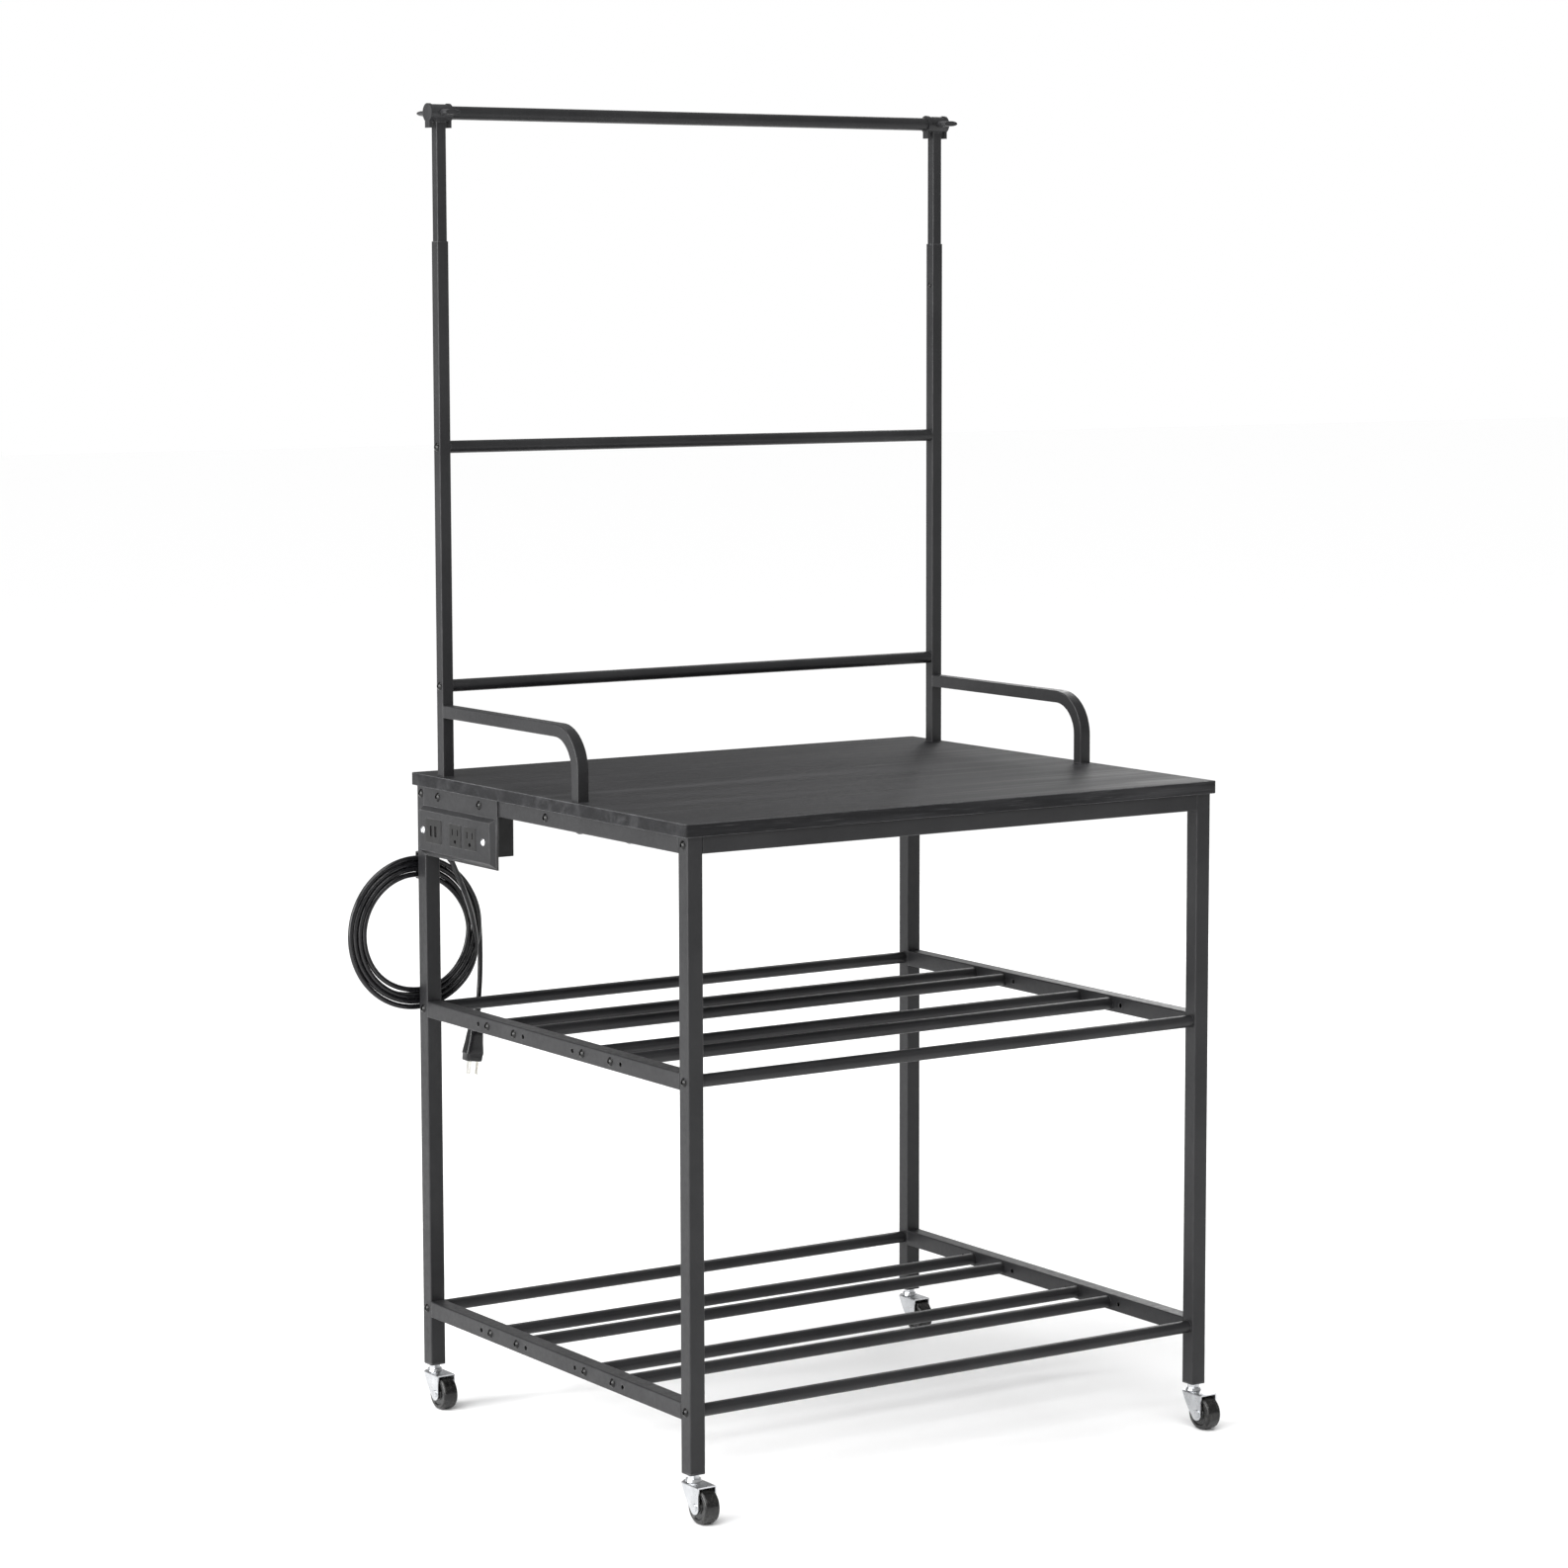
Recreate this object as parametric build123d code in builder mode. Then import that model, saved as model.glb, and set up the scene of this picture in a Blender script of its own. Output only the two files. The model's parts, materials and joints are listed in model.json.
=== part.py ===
"""Rolling stand for a desktop 3-D printer: two shelves of rods and one raised rod hold filament spools.

Millimetres, +Z up, origin on the floor under the middle of the frame. X runs along the rods, with
the power outlets on the -X side, and the raised spool rod stands over the back, on the +Y side.
"""

import math
import os

from build123d import *

# ---------------------------------------------------------------------------------------------
# Driving dimensions
# ---------------------------------------------------------------------------------------------

# Frame of square tube
TUBE = 20.0
TUBE_WALL = 1.5
TUBE_CORNER = 1.6
FRAME_WIDTH = 740.0
FRAME_DEPTH = 620.0
LEG_BOTTOM_Z = 54.0

# Tabletop board
BOARD_THICKNESS = 15.0
BOARD_OVERHANG = 5.0
BOARD_TOP_Z = 790.0
BOARD_CORNER = 3.0
BOARD_CHAMFER = 0.5
PILOT_DEPTH = 12.0

# Shelves: three pairs of rods on each, a pair carries spools of 200 mm
MID_SHELF_Z = 499.0
LOW_SHELF_Z = 123.4
ROD_DIAMETER = 15.0
ROD_WALL = 1.2
ROD_PLUG_DEPTH = 18.0
SPOOL_PAIR_SPACING = 158.0
SPARE_HOLE_SHIFT = 22.0
SPARE_HOLE_RADIUS = 3.0

# Masts, crossbars and guard rails of smaller square tube
MAST_TUBE = 15.0
MAST_WALL = 1.0
MAST_CORNER = 1.2
MAST_Y = 250.0
SLEEVE_TOP_Z = 1433.0
INNER_MAST_TUBE = 12.8
INNER_MAST_WALL = 1.2
INNER_MAST_CORNER = 1.0
INNER_MAST_BOTTOM_Z = 1313.0
INNER_MAST_TOP_Z = 1574.0
CROSSBAR_HEIGHTS = (900.0, 1188.0)
LOCK_SCREW_Z = 1380.5
GUARD_Z = 869.5
GUARD_POST_Y = -67.0
GUARD_BEND_RADIUS = 45.0
FOOT_PLUG_DEPTH = 14.0

# Raised spool rod and its end brackets
SPOOL_ROD_DIAMETER = 16.0
SPOOL_ROD_Z = 1585.0
SPOOL_ROD_HALF_LENGTH = 371.0
BRACKET_INNER_X = 348.0
BRACKET_OUTER_X = 378.0
BRACKET_FLANGE = 3.5
BRACKET_BARREL_RADIUS = 11.0
KNOB_REACH = 33.0
KNOB_WIDTH = 20.0
KNOB_HEIGHT = 6.5

GRIP_THICKNESS = 6.0
GRIP_NECK_RADIUS = 4.2
GRIP_RIM = 1.0
GRIP_RECESS = 1.0
GRIP_GAP = 0.3
GRIP_BORE_DEPTH = 22.0
TAB_WIDTH = 11.0
TAB_DROP = 18.0
SEAT_WIDTH = 14.0
SPIGOT_LENGTH = 25.0
SPIGOT_CLEARANCE = 0.25
WAIST_DEPTH = 1.0
ROD_BORE_CLEARANCE = 0.1
ROD_END_GAP = 1.0
CLAMP_BOLT_RADIUS = 2.5
CLAMP_BOLT_REACH = 20.0
CLAMP_BOLT_ROOT = 1.0

# Fasteners; a button head is its radius, its height and the width of its hexagon socket
BOLT_RADIUS = 3.0
BOLT_HEAD = (5.5, 3.0, 4.0)
PANEL_BOLT_SHANK = 6.0
HOLE_CLEARANCE = 0.15
THREAD_CLEARANCE = 0.03
BOARD_SCREW_RADIUS = 2.5
BOARD_SCREW_HEAD = (5.8, 2.6, 3.0)
BOARD_SCREW_GRIP = 9.0
POST_SCREW_GRIP = 10.0
LOCK_SCREW_RADIUS = 2.0
LOCK_SCREW_HEAD = (3.8, 2.0, 2.2)
LOCK_SCREW_SHANK = 0.9
PANEL_SCREW_RADIUS = 2.0
PANEL_SCREW_HEAD = (4.5, 2.4, 2.5)
SCREW_REACH = 16.0

# Power outlets on the left rail
PANEL_FRONT_Y = 110.0
PANEL_BACK_Y = 290.0
PANEL_BOTTOM_Z = 691.0
PANEL_RAISE = 8.0
RAISE_FRONT_Y = 113.0
RAISE_BOTTOM_Z = 693.0
RAISE_TOP_Z = 752.0
RAISE_BEVEL = 5.0
PLATE = 2.0
OUTLET_WIDTH = 28.0
OUTLET_HEIGHT = 27.0
OUTLET_CENTRES_Y = (165.0, 201.0)
OUTLET_Z = 723.5
USB_CENTRE_Y = 254.5
USB_WIDTH = 38.0
USB_HEIGHT = 29.0
PANEL_SCREWS_Y = (134.0, 281.5)
PANEL_SCREW_Z = 723.0
PANEL_BOLTS_Y = (153.0, 254.0)
OUTLET_PROUD = 0.6
OUTLET_CORNER = 1.0
SOCKET_FLOOR = 2.0
POCKET_DEPTH = 8.2
BLADE_SPACING = 12.7
SLOT_WIDTH = 2.0
SLOT_HEIGHT = 8.0
SLOT_RISE = 4.0
EARTH_HOLE_RADIUS = 2.5
EARTH_HOLE_DROP = 7.2
USB_PORTS_Y = (249.0, 260.0)
USB_PORT_WIDTH = 5.2
USB_PORT_HEIGHT = 13.0
USB_TONGUE_WIDTH = 1.6
USB_TONGUE_HEIGHT = 11.4
USB_TONGUE_SHIFT = 0.9
USB_TONGUE_RECESS = 1.0
STRIP_FRONT_Y = 143.0
STRIP_BACK_Y = 276.0
STRIP_BOTTOM_Z = 702.0
STRIP_TOP_Z = 750.5
STRIP_DEPTH = 40.0
STRIP_FILLET = 2.0
STRIP_GAP = 0.2
NECK_FRONT_Y = 145.0
NECK_BOTTOM_Z = 703.0
NECK_TOP_Z = 743.0
EAR_REACH = 5.5
EAR_HALF_HEIGHT = 8.0
EAR_OVERLAP = 4.0
EAR_THICKNESS = 3.0

# Power cord, hung in a coil behind the back left leg
CORD_DIAMETER = 6.5
GLAND_TILT = 25.0
GLAND_LENGTH = 24.0
GLAND_COLLAR_RADIUS = 7.0
GLAND_COLLAR_INSIDE = 4.0
GLAND_COLLAR_OUTSIDE = 3.0
GLAND_ROOT_RADIUS = 5.6
GLAND_TIP_RADIUS = 4.2
COIL_CENTRE = (-368.0, 322.0, 591.0)
COIL_INNER_RADIUS = 70.5
COIL_OUTER_RADIUS = 95.6
COIL_THICKNESS = 14.0
PLUG_TILT = 8.0
PLUG_WIDTH = 24.5
PLUG_DEPTH = 19.0
PLUG_BODY_LENGTH = 42.0
PLUG_CORNER = 4.0
PLUG_SHOULDER = (17.5, 14.0)
PLUG_NOSE = (22.5, 17.0)
PLUG_WIDEST = 0.75
PLUG_RELIEF_LENGTH = 24.0
PLUG_NECK_RADIUS = 4.3
PLUG_THROAT_RADIUS = 6.5
PIN_LENGTH = 17.5
BLADE_THICKNESS = 1.5
BLADE_WIDTH = 6.3
BLADE_OFFSET = 3.0
EARTH_PIN_RADIUS = 2.4
EARTH_PIN_OFFSET = 5.0
PLUG_TOP = (-281.3, 322.0, 488.0)
CORD_EXIT = (-344.0, 272.0, 683.0)
LEAD_ROUTE = [
    CORD_EXIT,
    (-333.9, 272.0, 661.3),
    (-319.5, 280.5, 637.5),
    (-303.5, 296.0, 613.0),
    (-291.0, 310.0, 589.0),
    (-284.0, 318.5, 563.0),
]
TAIL_ROUTE = [
    (-276.0, 325.0, 584.0),
    (-275.6, 324.6, 560.0),
    (-276.4, 323.8, 536.0),
    (-278.3, 322.8, 512.0),
    PLUG_TOP,
]
CLIP_X = -354.0
CLIP_WIDTH = 12.0
CLIP_SHEET = 1.5
CLIP_SLACK = 2.8
CLIP_FILLET = 1.0

# Casters
WHEEL_RADIUS = 20.0
WHEEL_WIDTH = 19.0
AXLE_TRAIL = 22.0
AXLE_RADIUS = 3.0
AXLE_CLEARANCE = 0.08
YOKE_WIDTH = 24.4
YOKE_SHEET = 1.6
YOKE_TOP_Z = 43.5
YOKE_EDGE_FILLET = 1.5
STEM_RADIUS = 4.0
STEM_CLEARANCE = 0.08
STEM_END_GAP = 2.0
RIVET_HEAD_RADIUS = 6.0
RIVET_HEAD_HEIGHT = 2.5
BEARING_GAP = 0.3
BEARING_RADIUS = 9.5
BEARING_TAPER = 20.0
NUT_RISE = 3.6
NUT_INRADIUS = 6.5
LEG_PLUG_HEIGHT = 28.0
LEG_PLUG_GAP = 0.1
LEG_PLUG_CORNER = 0.8
LEG_CAP = 1.5

# Cheek of a caster's yoke, from the stem's axis in Y and from the floor in Z
CHEEK_FRONT_Y = 6.5
CHEEK_WAIST = (-3.5, 26.0)
CHEEK_TOE = (-12.5, 15.5)
CHEEK_BOTTOM_Z = 11.5
CHEEK_REAR = (-29.0, 18.0)

# Section of a caster's wheel, as radii from its axle
HUB_RADIUS = 6.0
DISH_RADII = (8.0, 13.5)
DISH_DEPTH = 1.2
RIM_RADIUS = 15.0
TREAD_FILLET = 3.0
AXLE_HEAD_RADIUS = 4.5
AXLE_HEAD_HEIGHT = 1.6
AXLE_HEAD_TAPER = 15.0
AXLE_STAND_OFF = 0.5

# Derived places
LEG_X = FRAME_WIDTH / 2 - TUBE / 2
LEG_Y = FRAME_DEPTH / 2 - TUBE / 2
FRAME_TOP_Z = BOARD_TOP_Z - BOARD_THICKNESS
TOP_RAIL_Z = FRAME_TOP_Z - TUBE / 2
OUTER_X = FRAME_WIDTH / 2
INNER_X = OUTER_X - TUBE
SIDE_RAIL_LENGTH = FRAME_DEPTH - 2 * TUBE
MAST_X = OUTER_X - MAST_TUBE / 2
MAST_INNER_X = OUTER_X - MAST_TUBE
ROD_Y = {
    "front": (-LEG_Y, -LEG_Y + SPOOL_PAIR_SPACING),
    "centre": (-SPOOL_PAIR_SPACING / 2, SPOOL_PAIR_SPACING / 2),
    "back": (LEG_Y - SPOOL_PAIR_SPACING, LEG_Y),
}
ALL_ROD_Y = [y for pair in ROD_Y.values() for y in pair]
SPARE_HOLE_Y = [
    -LEG_Y + SPOOL_PAIR_SPACING - SPARE_HOLE_SHIFT,
    -SPOOL_PAIR_SPACING / 2 + SPARE_HOLE_SHIFT,
    SPOOL_PAIR_SPACING / 2 - SPARE_HOLE_SHIFT,
    LEG_Y - SPOOL_PAIR_SPACING + SPARE_HOLE_SHIFT,
]
BOARD_SCREW_Y = 172.0
SHELVES = {"mid": MID_SHELF_Z, "low": LOW_SHELF_Z}
SIDES = {"left": -1, "right": 1}
ENDS = {"front": -1, "back": 1}

os.makedirs("parts", exist_ok=True)


# ---------------------------------------------------------------------------------------------
# Helpers
# ---------------------------------------------------------------------------------------------


def write(part, label):
    """Label a finished sub-part and write it as one STEP file."""
    part.label = label
    export_step(part, f"parts/{label}.step")


def tube_plane(origin, direction):
    """A plane to start a tube on: its normal runs along the tube, its x axis is square to the frame."""
    x_dir = (0, 1, 0) if abs(direction[0]) > 0.5 else (1, 0, 0)
    return Plane(origin=origin, x_dir=x_dir, z_dir=direction)


def square_tube(start, direction, length, size=TUBE, wall=TUBE_WALL, corner=TUBE_CORNER):
    """A straight square tube with rounded corners, open at both ends."""
    with BuildPart() as tube:
        with BuildSketch(tube_plane(start, direction)):
            RectangleRounded(size, size, corner)
            RectangleRounded(size - 2 * wall, size - 2 * wall, corner / 2, mode=Mode.SUBTRACT)
        extrude(amount=length)
    return tube.part


def cut_along_x(radius, places, length=2 * TUBE):
    """Cut a round hole along X, centred on each place, through the sub-part being built."""
    with Locations(*[Location(place, (0, 90, 0)) for place in places]):
        Cylinder(radius, length, mode=Mode.SUBTRACT)


def cut_along_z(radius, places, length):
    """Cut a round hole along Z, centred on each place, through the sub-part being built."""
    with Locations(*places):
        Cylinder(radius, length, mode=Mode.SUBTRACT)


def round_rod(x_half, y, z, radius, wall, plug_depth):
    """A round tube along X with a threaded plug welded into each end."""
    bore_half = x_half - plug_depth
    with BuildPart() as rod:
        with BuildSketch(Plane.YZ.offset(-x_half)):
            with Locations((y, z)):
                Circle(radius)
        extrude(amount=2 * x_half)
        with BuildSketch(Plane.YZ.offset(-bore_half)):
            with Locations((y, z)):
                Circle(radius - wall)
        extrude(amount=2 * bore_half, mode=Mode.SUBTRACT)
        cut_along_x(BOLT_RADIUS + THREAD_CLEARANCE, [(0, y, z)], 2 * x_half)
    return rod.part


def button_bolt(radius, head, shank_length):
    """A button-head bolt whose head stands on +Z and whose shank runs down -Z."""
    head_radius, head_height, socket_width = head
    dome_radius = (head_radius**2 + head_height**2) / (2 * head_height)
    shoulder = head_radius * 0.6
    shoulder_z = head_height - dome_radius + math.sqrt(dome_radius**2 - shoulder**2)
    with BuildPart() as bolt:
        with BuildSketch(Plane.XZ):
            with BuildLine():
                Polyline(
                    (0, head_height),
                    (0, -shank_length),
                    (radius, -shank_length),
                    (radius, 0),
                    (head_radius, 0),
                )
                ThreePointArc((head_radius, 0), (shoulder, shoulder_z), (0, head_height))
            make_face()
        revolve(axis=Axis.Z)
        with BuildSketch(Plane.XY.offset(head_height)):
            RegularPolygon(socket_width / 2, 6, major_radius=False)
        extrude(amount=-0.6 * head_height, mode=Mode.SUBTRACT)
    return bolt.part


def side_plane(side, x, y, z):
    """A plane on a face that looks outwards along X, on the left or the right side."""
    return Plane(origin=(side * x, y, z), x_dir=(0, 1, 0), z_dir=(side, 0, 0))


def copies(part, planes):
    """One group of identical solids, one on each plane."""
    with BuildPart() as group:
        with Locations(*planes):
            add(part)
    return group.part


# ---------------------------------------------------------------------------------------------
# Tabletop
# ---------------------------------------------------------------------------------------------

post_screw_places = [(side * MAST_X, y) for side in SIDES.values() for y in (MAST_Y, GUARD_POST_Y)]
board_screw_places = [(side * LEG_X, y) for side in SIDES.values() for y in (-BOARD_SCREW_Y, BOARD_SCREW_Y)]

with BuildPart() as tabletop:
    with BuildSketch(Plane.XY.offset(FRAME_TOP_Z)):
        RectangleRounded(FRAME_WIDTH + 2 * BOARD_OVERHANG, FRAME_DEPTH + 2 * BOARD_OVERHANG, BOARD_CORNER)
    extrude(amount=BOARD_THICKNESS)
    chamfer(tabletop.faces().sort_by(Axis.Z)[-1].edges(), BOARD_CHAMFER)
    cut_along_z(
        BOARD_SCREW_RADIUS + HOLE_CLEARANCE,
        [(x, y, FRAME_TOP_Z + BOARD_THICKNESS / 2) for x, y in post_screw_places],
        2 * BOARD_THICKNESS,
    )
    cut_along_z(
        BOARD_SCREW_RADIUS + THREAD_CLEARANCE,
        [(x, y, FRAME_TOP_Z) for x, y in board_screw_places],
        2 * PILOT_DEPTH,
    )
write(tabletop.part, "tabletop")

# ---------------------------------------------------------------------------------------------
# Side frames: legs, side rails and their shelf rails
# ---------------------------------------------------------------------------------------------

for side_name, side in SIDES.items():
    for end_name, end in ENDS.items():
        with BuildPart() as leg:
            add(square_tube((side * LEG_X, end * LEG_Y, LEG_BOTTOM_Z), (0, 0, 1), FRAME_TOP_Z - LEG_BOTTOM_Z))
            bolt_heights = (LOW_SHELF_Z, MID_SHELF_Z, TOP_RAIL_Z)
            cut_along_x(BOLT_RADIUS + HOLE_CLEARANCE, [(side * LEG_X, end * LEG_Y, z) for z in bolt_heights])
        write(leg.part, f"leg_{end_name}_{side_name}")

    with BuildPart() as top_rail_side:
        add(square_tube((side * LEG_X, -SIDE_RAIL_LENGTH / 2, TOP_RAIL_Z), (0, 1, 0), SIDE_RAIL_LENGTH))
        cut_along_x(BOLT_RADIUS + HOLE_CLEARANCE, [(side * LEG_X, 0, TOP_RAIL_Z)])
        cut_along_z(
            BOARD_SCREW_RADIUS + HOLE_CLEARANCE,
            [(x, y, TOP_RAIL_Z) for x, y in post_screw_places + board_screw_places if x * side > 0],
            2 * TUBE,
        )
        if side_name == "left":
            cut_along_x(
                BOLT_RADIUS + HOLE_CLEARANCE,
                [(-OUTER_X, y, TOP_RAIL_Z) for y in PANEL_BOLTS_Y],
                4 * TUBE_WALL,
            )
    write(top_rail_side.part, f"top_rail_{side_name}")

    for shelf_name, shelf_z in SHELVES.items():
        with BuildPart() as shelf_rail:
            add(square_tube((side * LEG_X, -SIDE_RAIL_LENGTH / 2, shelf_z), (0, 1, 0), SIDE_RAIL_LENGTH))
            inner_rods = [y for y in ALL_ROD_Y if abs(y) < LEG_Y]
            cut_along_x(BOLT_RADIUS + HOLE_CLEARANCE, [(side * LEG_X, y, shelf_z) for y in inner_rods])
            cut_along_x(SPARE_HOLE_RADIUS, [(side * LEG_X, y, shelf_z) for y in SPARE_HOLE_Y])
        write(shelf_rail.part, f"{shelf_name}_rail_{side_name}")

# Cross rails under the board, each with a threaded block welded into both ends
CROSS_RAIL_Y = {"front": -LEG_Y, "middle": 0.0, "back": LEG_Y}
for rail_name, rail_y in CROSS_RAIL_Y.items():
    with BuildPart() as cross_rail:
        add(square_tube((-INNER_X, rail_y, TOP_RAIL_Z), (1, 0, 0), 2 * INNER_X))
        for side in SIDES.values():
            with Locations((side * (INNER_X - ROD_PLUG_DEPTH / 2), rail_y, TOP_RAIL_Z)):
                Box(ROD_PLUG_DEPTH, TUBE - TUBE_WALL, TUBE - TUBE_WALL)
        cut_along_x(BOLT_RADIUS + THREAD_CLEARANCE, [(0, rail_y, TOP_RAIL_Z)], 2 * INNER_X)
    write(cross_rail.part, f"top_rail_{rail_name}")

# Shelf rods, a pair to each row of spools
for shelf_name, shelf_z in SHELVES.items():
    for row_name, rod_pair in ROD_Y.items():
        with BuildPart() as rods:
            for rod_y in rod_pair:
                add(round_rod(INNER_X, rod_y, shelf_z, ROD_DIAMETER / 2, ROD_WALL, ROD_PLUG_DEPTH))
        write(rods.part, f"{shelf_name}_{row_name}_rods")

# ---------------------------------------------------------------------------------------------
# Masts, crossbars and guard rails above the board
# ---------------------------------------------------------------------------------------------

for side_name, side in SIDES.items():
    with BuildPart() as mast_sleeve:
        add(
            square_tube(
                (side * MAST_X, MAST_Y, BOARD_TOP_Z),
                (0, 0, 1),
                SLEEVE_TOP_Z - BOARD_TOP_Z,
                MAST_TUBE,
                MAST_WALL,
                MAST_CORNER,
            )
        )
        with Locations((side * MAST_X, MAST_Y, BOARD_TOP_Z + FOOT_PLUG_DEPTH / 2)):
            Box(MAST_TUBE - MAST_WALL, MAST_TUBE - MAST_WALL, FOOT_PLUG_DEPTH)
        cut_along_x(BOLT_RADIUS + HOLE_CLEARANCE, [(side * MAST_X, MAST_Y, z) for z in CROSSBAR_HEIGHTS])
        cut_along_x(
            LOCK_SCREW_RADIUS + THREAD_CLEARANCE,
            [(side * MAST_INNER_X, MAST_Y, LOCK_SCREW_Z)],
            4 * MAST_WALL,
        )
        cut_along_z(
            BOARD_SCREW_RADIUS + THREAD_CLEARANCE,
            [(side * MAST_X, MAST_Y, BOARD_TOP_Z)],
            3 * FOOT_PLUG_DEPTH,
        )
    write(mast_sleeve.part, f"mast_sleeve_{side_name}")

    guard_bore = MAST_TUBE - 2 * MAST_WALL
    guard_front_y = MAST_Y - MAST_TUBE / 2
    with BuildPart() as guard_rail:
        with BuildLine(Plane.YZ.offset(side * MAST_X)):
            FilletPolyline(
                (guard_front_y, GUARD_Z),
                (GUARD_POST_Y, GUARD_Z),
                (GUARD_POST_Y, BOARD_TOP_Z),
                radius=GUARD_BEND_RADIUS,
            )
        with BuildSketch(tube_plane((side * MAST_X, guard_front_y, GUARD_Z), (0, -1, 0))):
            RectangleRounded(MAST_TUBE, MAST_TUBE, MAST_CORNER)
            RectangleRounded(guard_bore, guard_bore, MAST_CORNER / 2, mode=Mode.SUBTRACT)
        sweep()
        with Locations((side * MAST_X, GUARD_POST_Y, BOARD_TOP_Z + FOOT_PLUG_DEPTH / 2)):
            Box(MAST_TUBE - MAST_WALL, MAST_TUBE - MAST_WALL, FOOT_PLUG_DEPTH)
        cut_along_z(
            BOARD_SCREW_RADIUS + THREAD_CLEARANCE,
            [(side * MAST_X, GUARD_POST_Y, BOARD_TOP_Z)],
            3 * FOOT_PLUG_DEPTH,
        )
    write(guard_rail.part, f"guard_rail_{side_name}")

with BuildPart() as mast_crossbars:
    for bar_z in CROSSBAR_HEIGHTS:
        add(round_rod(MAST_INNER_X, MAST_Y, bar_z, ROD_DIAMETER / 2, ROD_WALL, ROD_PLUG_DEPTH))
write(mast_crossbars.part, "mast_crossbars")

# ---------------------------------------------------------------------------------------------
# Sliding top rack: inner masts, end brackets, spool rod, clamp bolts and their knobs
# ---------------------------------------------------------------------------------------------

rack_cross_bolt = [(side * MAST_X, MAST_Y, SPOOL_ROD_Z) for side in SIDES.values()]


def cut_along_y(radius, places, length):
    """Cut a round hole along Y, centred on each place, through the sub-part being built."""
    with Locations(*[Location(place, (90, 0, 0)) for place in places]):
        Cylinder(radius, length, mode=Mode.SUBTRACT)


def oval_grip(x, base_y, outward):
    """An oval thumb grip on a flared neck, standing on the XZ plane at base_y and reaching outwards."""
    neck_plane = Plane(origin=(x, base_y, SPOOL_ROD_Z), x_dir=(1, 0, 0), z_dir=(0, outward, 0))
    grip_start = KNOB_REACH - GRIP_THICKNESS / 2 - abs(base_y - MAST_Y)
    with BuildPart() as grip:
        with BuildSketch(neck_plane):
            Circle(GRIP_NECK_RADIUS)
        with BuildSketch(neck_plane.offset(grip_start)):
            Ellipse(KNOB_WIDTH / 2, KNOB_HEIGHT / 2)
        loft()
        with BuildSketch(neck_plane.offset(grip_start)):
            Ellipse(KNOB_WIDTH / 2, KNOB_HEIGHT / 2)
        extrude(amount=GRIP_THICKNESS)
        with BuildSketch(neck_plane.offset(grip_start + GRIP_THICKNESS)):
            Ellipse(KNOB_WIDTH / 2 - GRIP_RIM, KNOB_HEIGHT / 2 - GRIP_RIM)
        extrude(amount=-GRIP_RECESS, mode=Mode.SUBTRACT)
    return grip.part


for side_name, side in SIDES.items():
    with BuildPart() as inner_mast:
        add(
            square_tube(
                (side * MAST_X, MAST_Y, INNER_MAST_BOTTOM_Z),
                (0, 0, 1),
                INNER_MAST_TOP_Z - INNER_MAST_BOTTOM_Z,
                INNER_MAST_TUBE,
                INNER_MAST_WALL,
                INNER_MAST_CORNER,
            )
        )
    write(inner_mast.part, f"inner_mast_{side_name}")

    spigot = INNER_MAST_TUBE - 2 * INNER_MAST_WALL - 2 * SPIGOT_CLEARANCE
    with BuildPart() as rod_bracket:
        # Barrel round the rod, with a flange at each end
        with BuildSketch(Plane.YZ.offset(side * BRACKET_INNER_X)):
            with Locations((MAST_Y, SPOOL_ROD_Z)):
                Circle(BRACKET_BARREL_RADIUS)
        extrude(amount=side * (BRACKET_OUTER_X - BRACKET_INNER_X))
        # Tabs that hang from the flanges beside the mast
        for tab_x in (BRACKET_INNER_X + BRACKET_FLANGE / 2, BRACKET_OUTER_X - BRACKET_FLANGE / 2):
            with Locations((side * tab_x, MAST_Y, SPOOL_ROD_Z - TAB_DROP / 2)):
                Box(BRACKET_FLANGE, TAB_WIDTH, TAB_DROP)
        # Seat on the mast's end and spigot inside it
        with Locations((side * MAST_X, MAST_Y, (INNER_MAST_TOP_Z + SPOOL_ROD_Z) / 2)):
            Box(SEAT_WIDTH, SEAT_WIDTH, SPOOL_ROD_Z - INNER_MAST_TOP_Z)
        with Locations((side * MAST_X, MAST_Y, INNER_MAST_TOP_Z - SPIGOT_LENGTH / 2)):
            Box(spigot, spigot, SPIGOT_LENGTH)
        # Shallow waist between the flanges
        with BuildSketch(Plane.YZ.offset(side * (BRACKET_INNER_X + BRACKET_FLANGE))):
            with Locations((MAST_Y, SPOOL_ROD_Z)):
                Circle(2 * BRACKET_BARREL_RADIUS)
                Circle(BRACKET_BARREL_RADIUS - WAIST_DEPTH, mode=Mode.SUBTRACT)
                with Locations((0, -2 * BRACKET_BARREL_RADIUS)):
                    Rectangle(4 * BRACKET_BARREL_RADIUS, 4 * BRACKET_BARREL_RADIUS, mode=Mode.SUBTRACT)
        extrude(amount=side * (BRACKET_OUTER_X - BRACKET_INNER_X - 2 * BRACKET_FLANGE), mode=Mode.SUBTRACT)
        # Blind bore for the rod, and the cross bolt's hole
        with BuildSketch(Plane.YZ.offset(side * BRACKET_INNER_X)):
            with Locations((MAST_Y, SPOOL_ROD_Z)):
                Circle(SPOOL_ROD_DIAMETER / 2 + ROD_BORE_CLEARANCE)
        extrude(amount=side * (SPOOL_ROD_HALF_LENGTH + ROD_END_GAP - BRACKET_INNER_X), mode=Mode.SUBTRACT)
        cut_along_y(CLAMP_BOLT_RADIUS + HOLE_CLEARANCE, rack_cross_bolt, 4 * BRACKET_BARREL_RADIUS)
    write(rod_bracket.part, f"rod_bracket_{side_name}")

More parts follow.
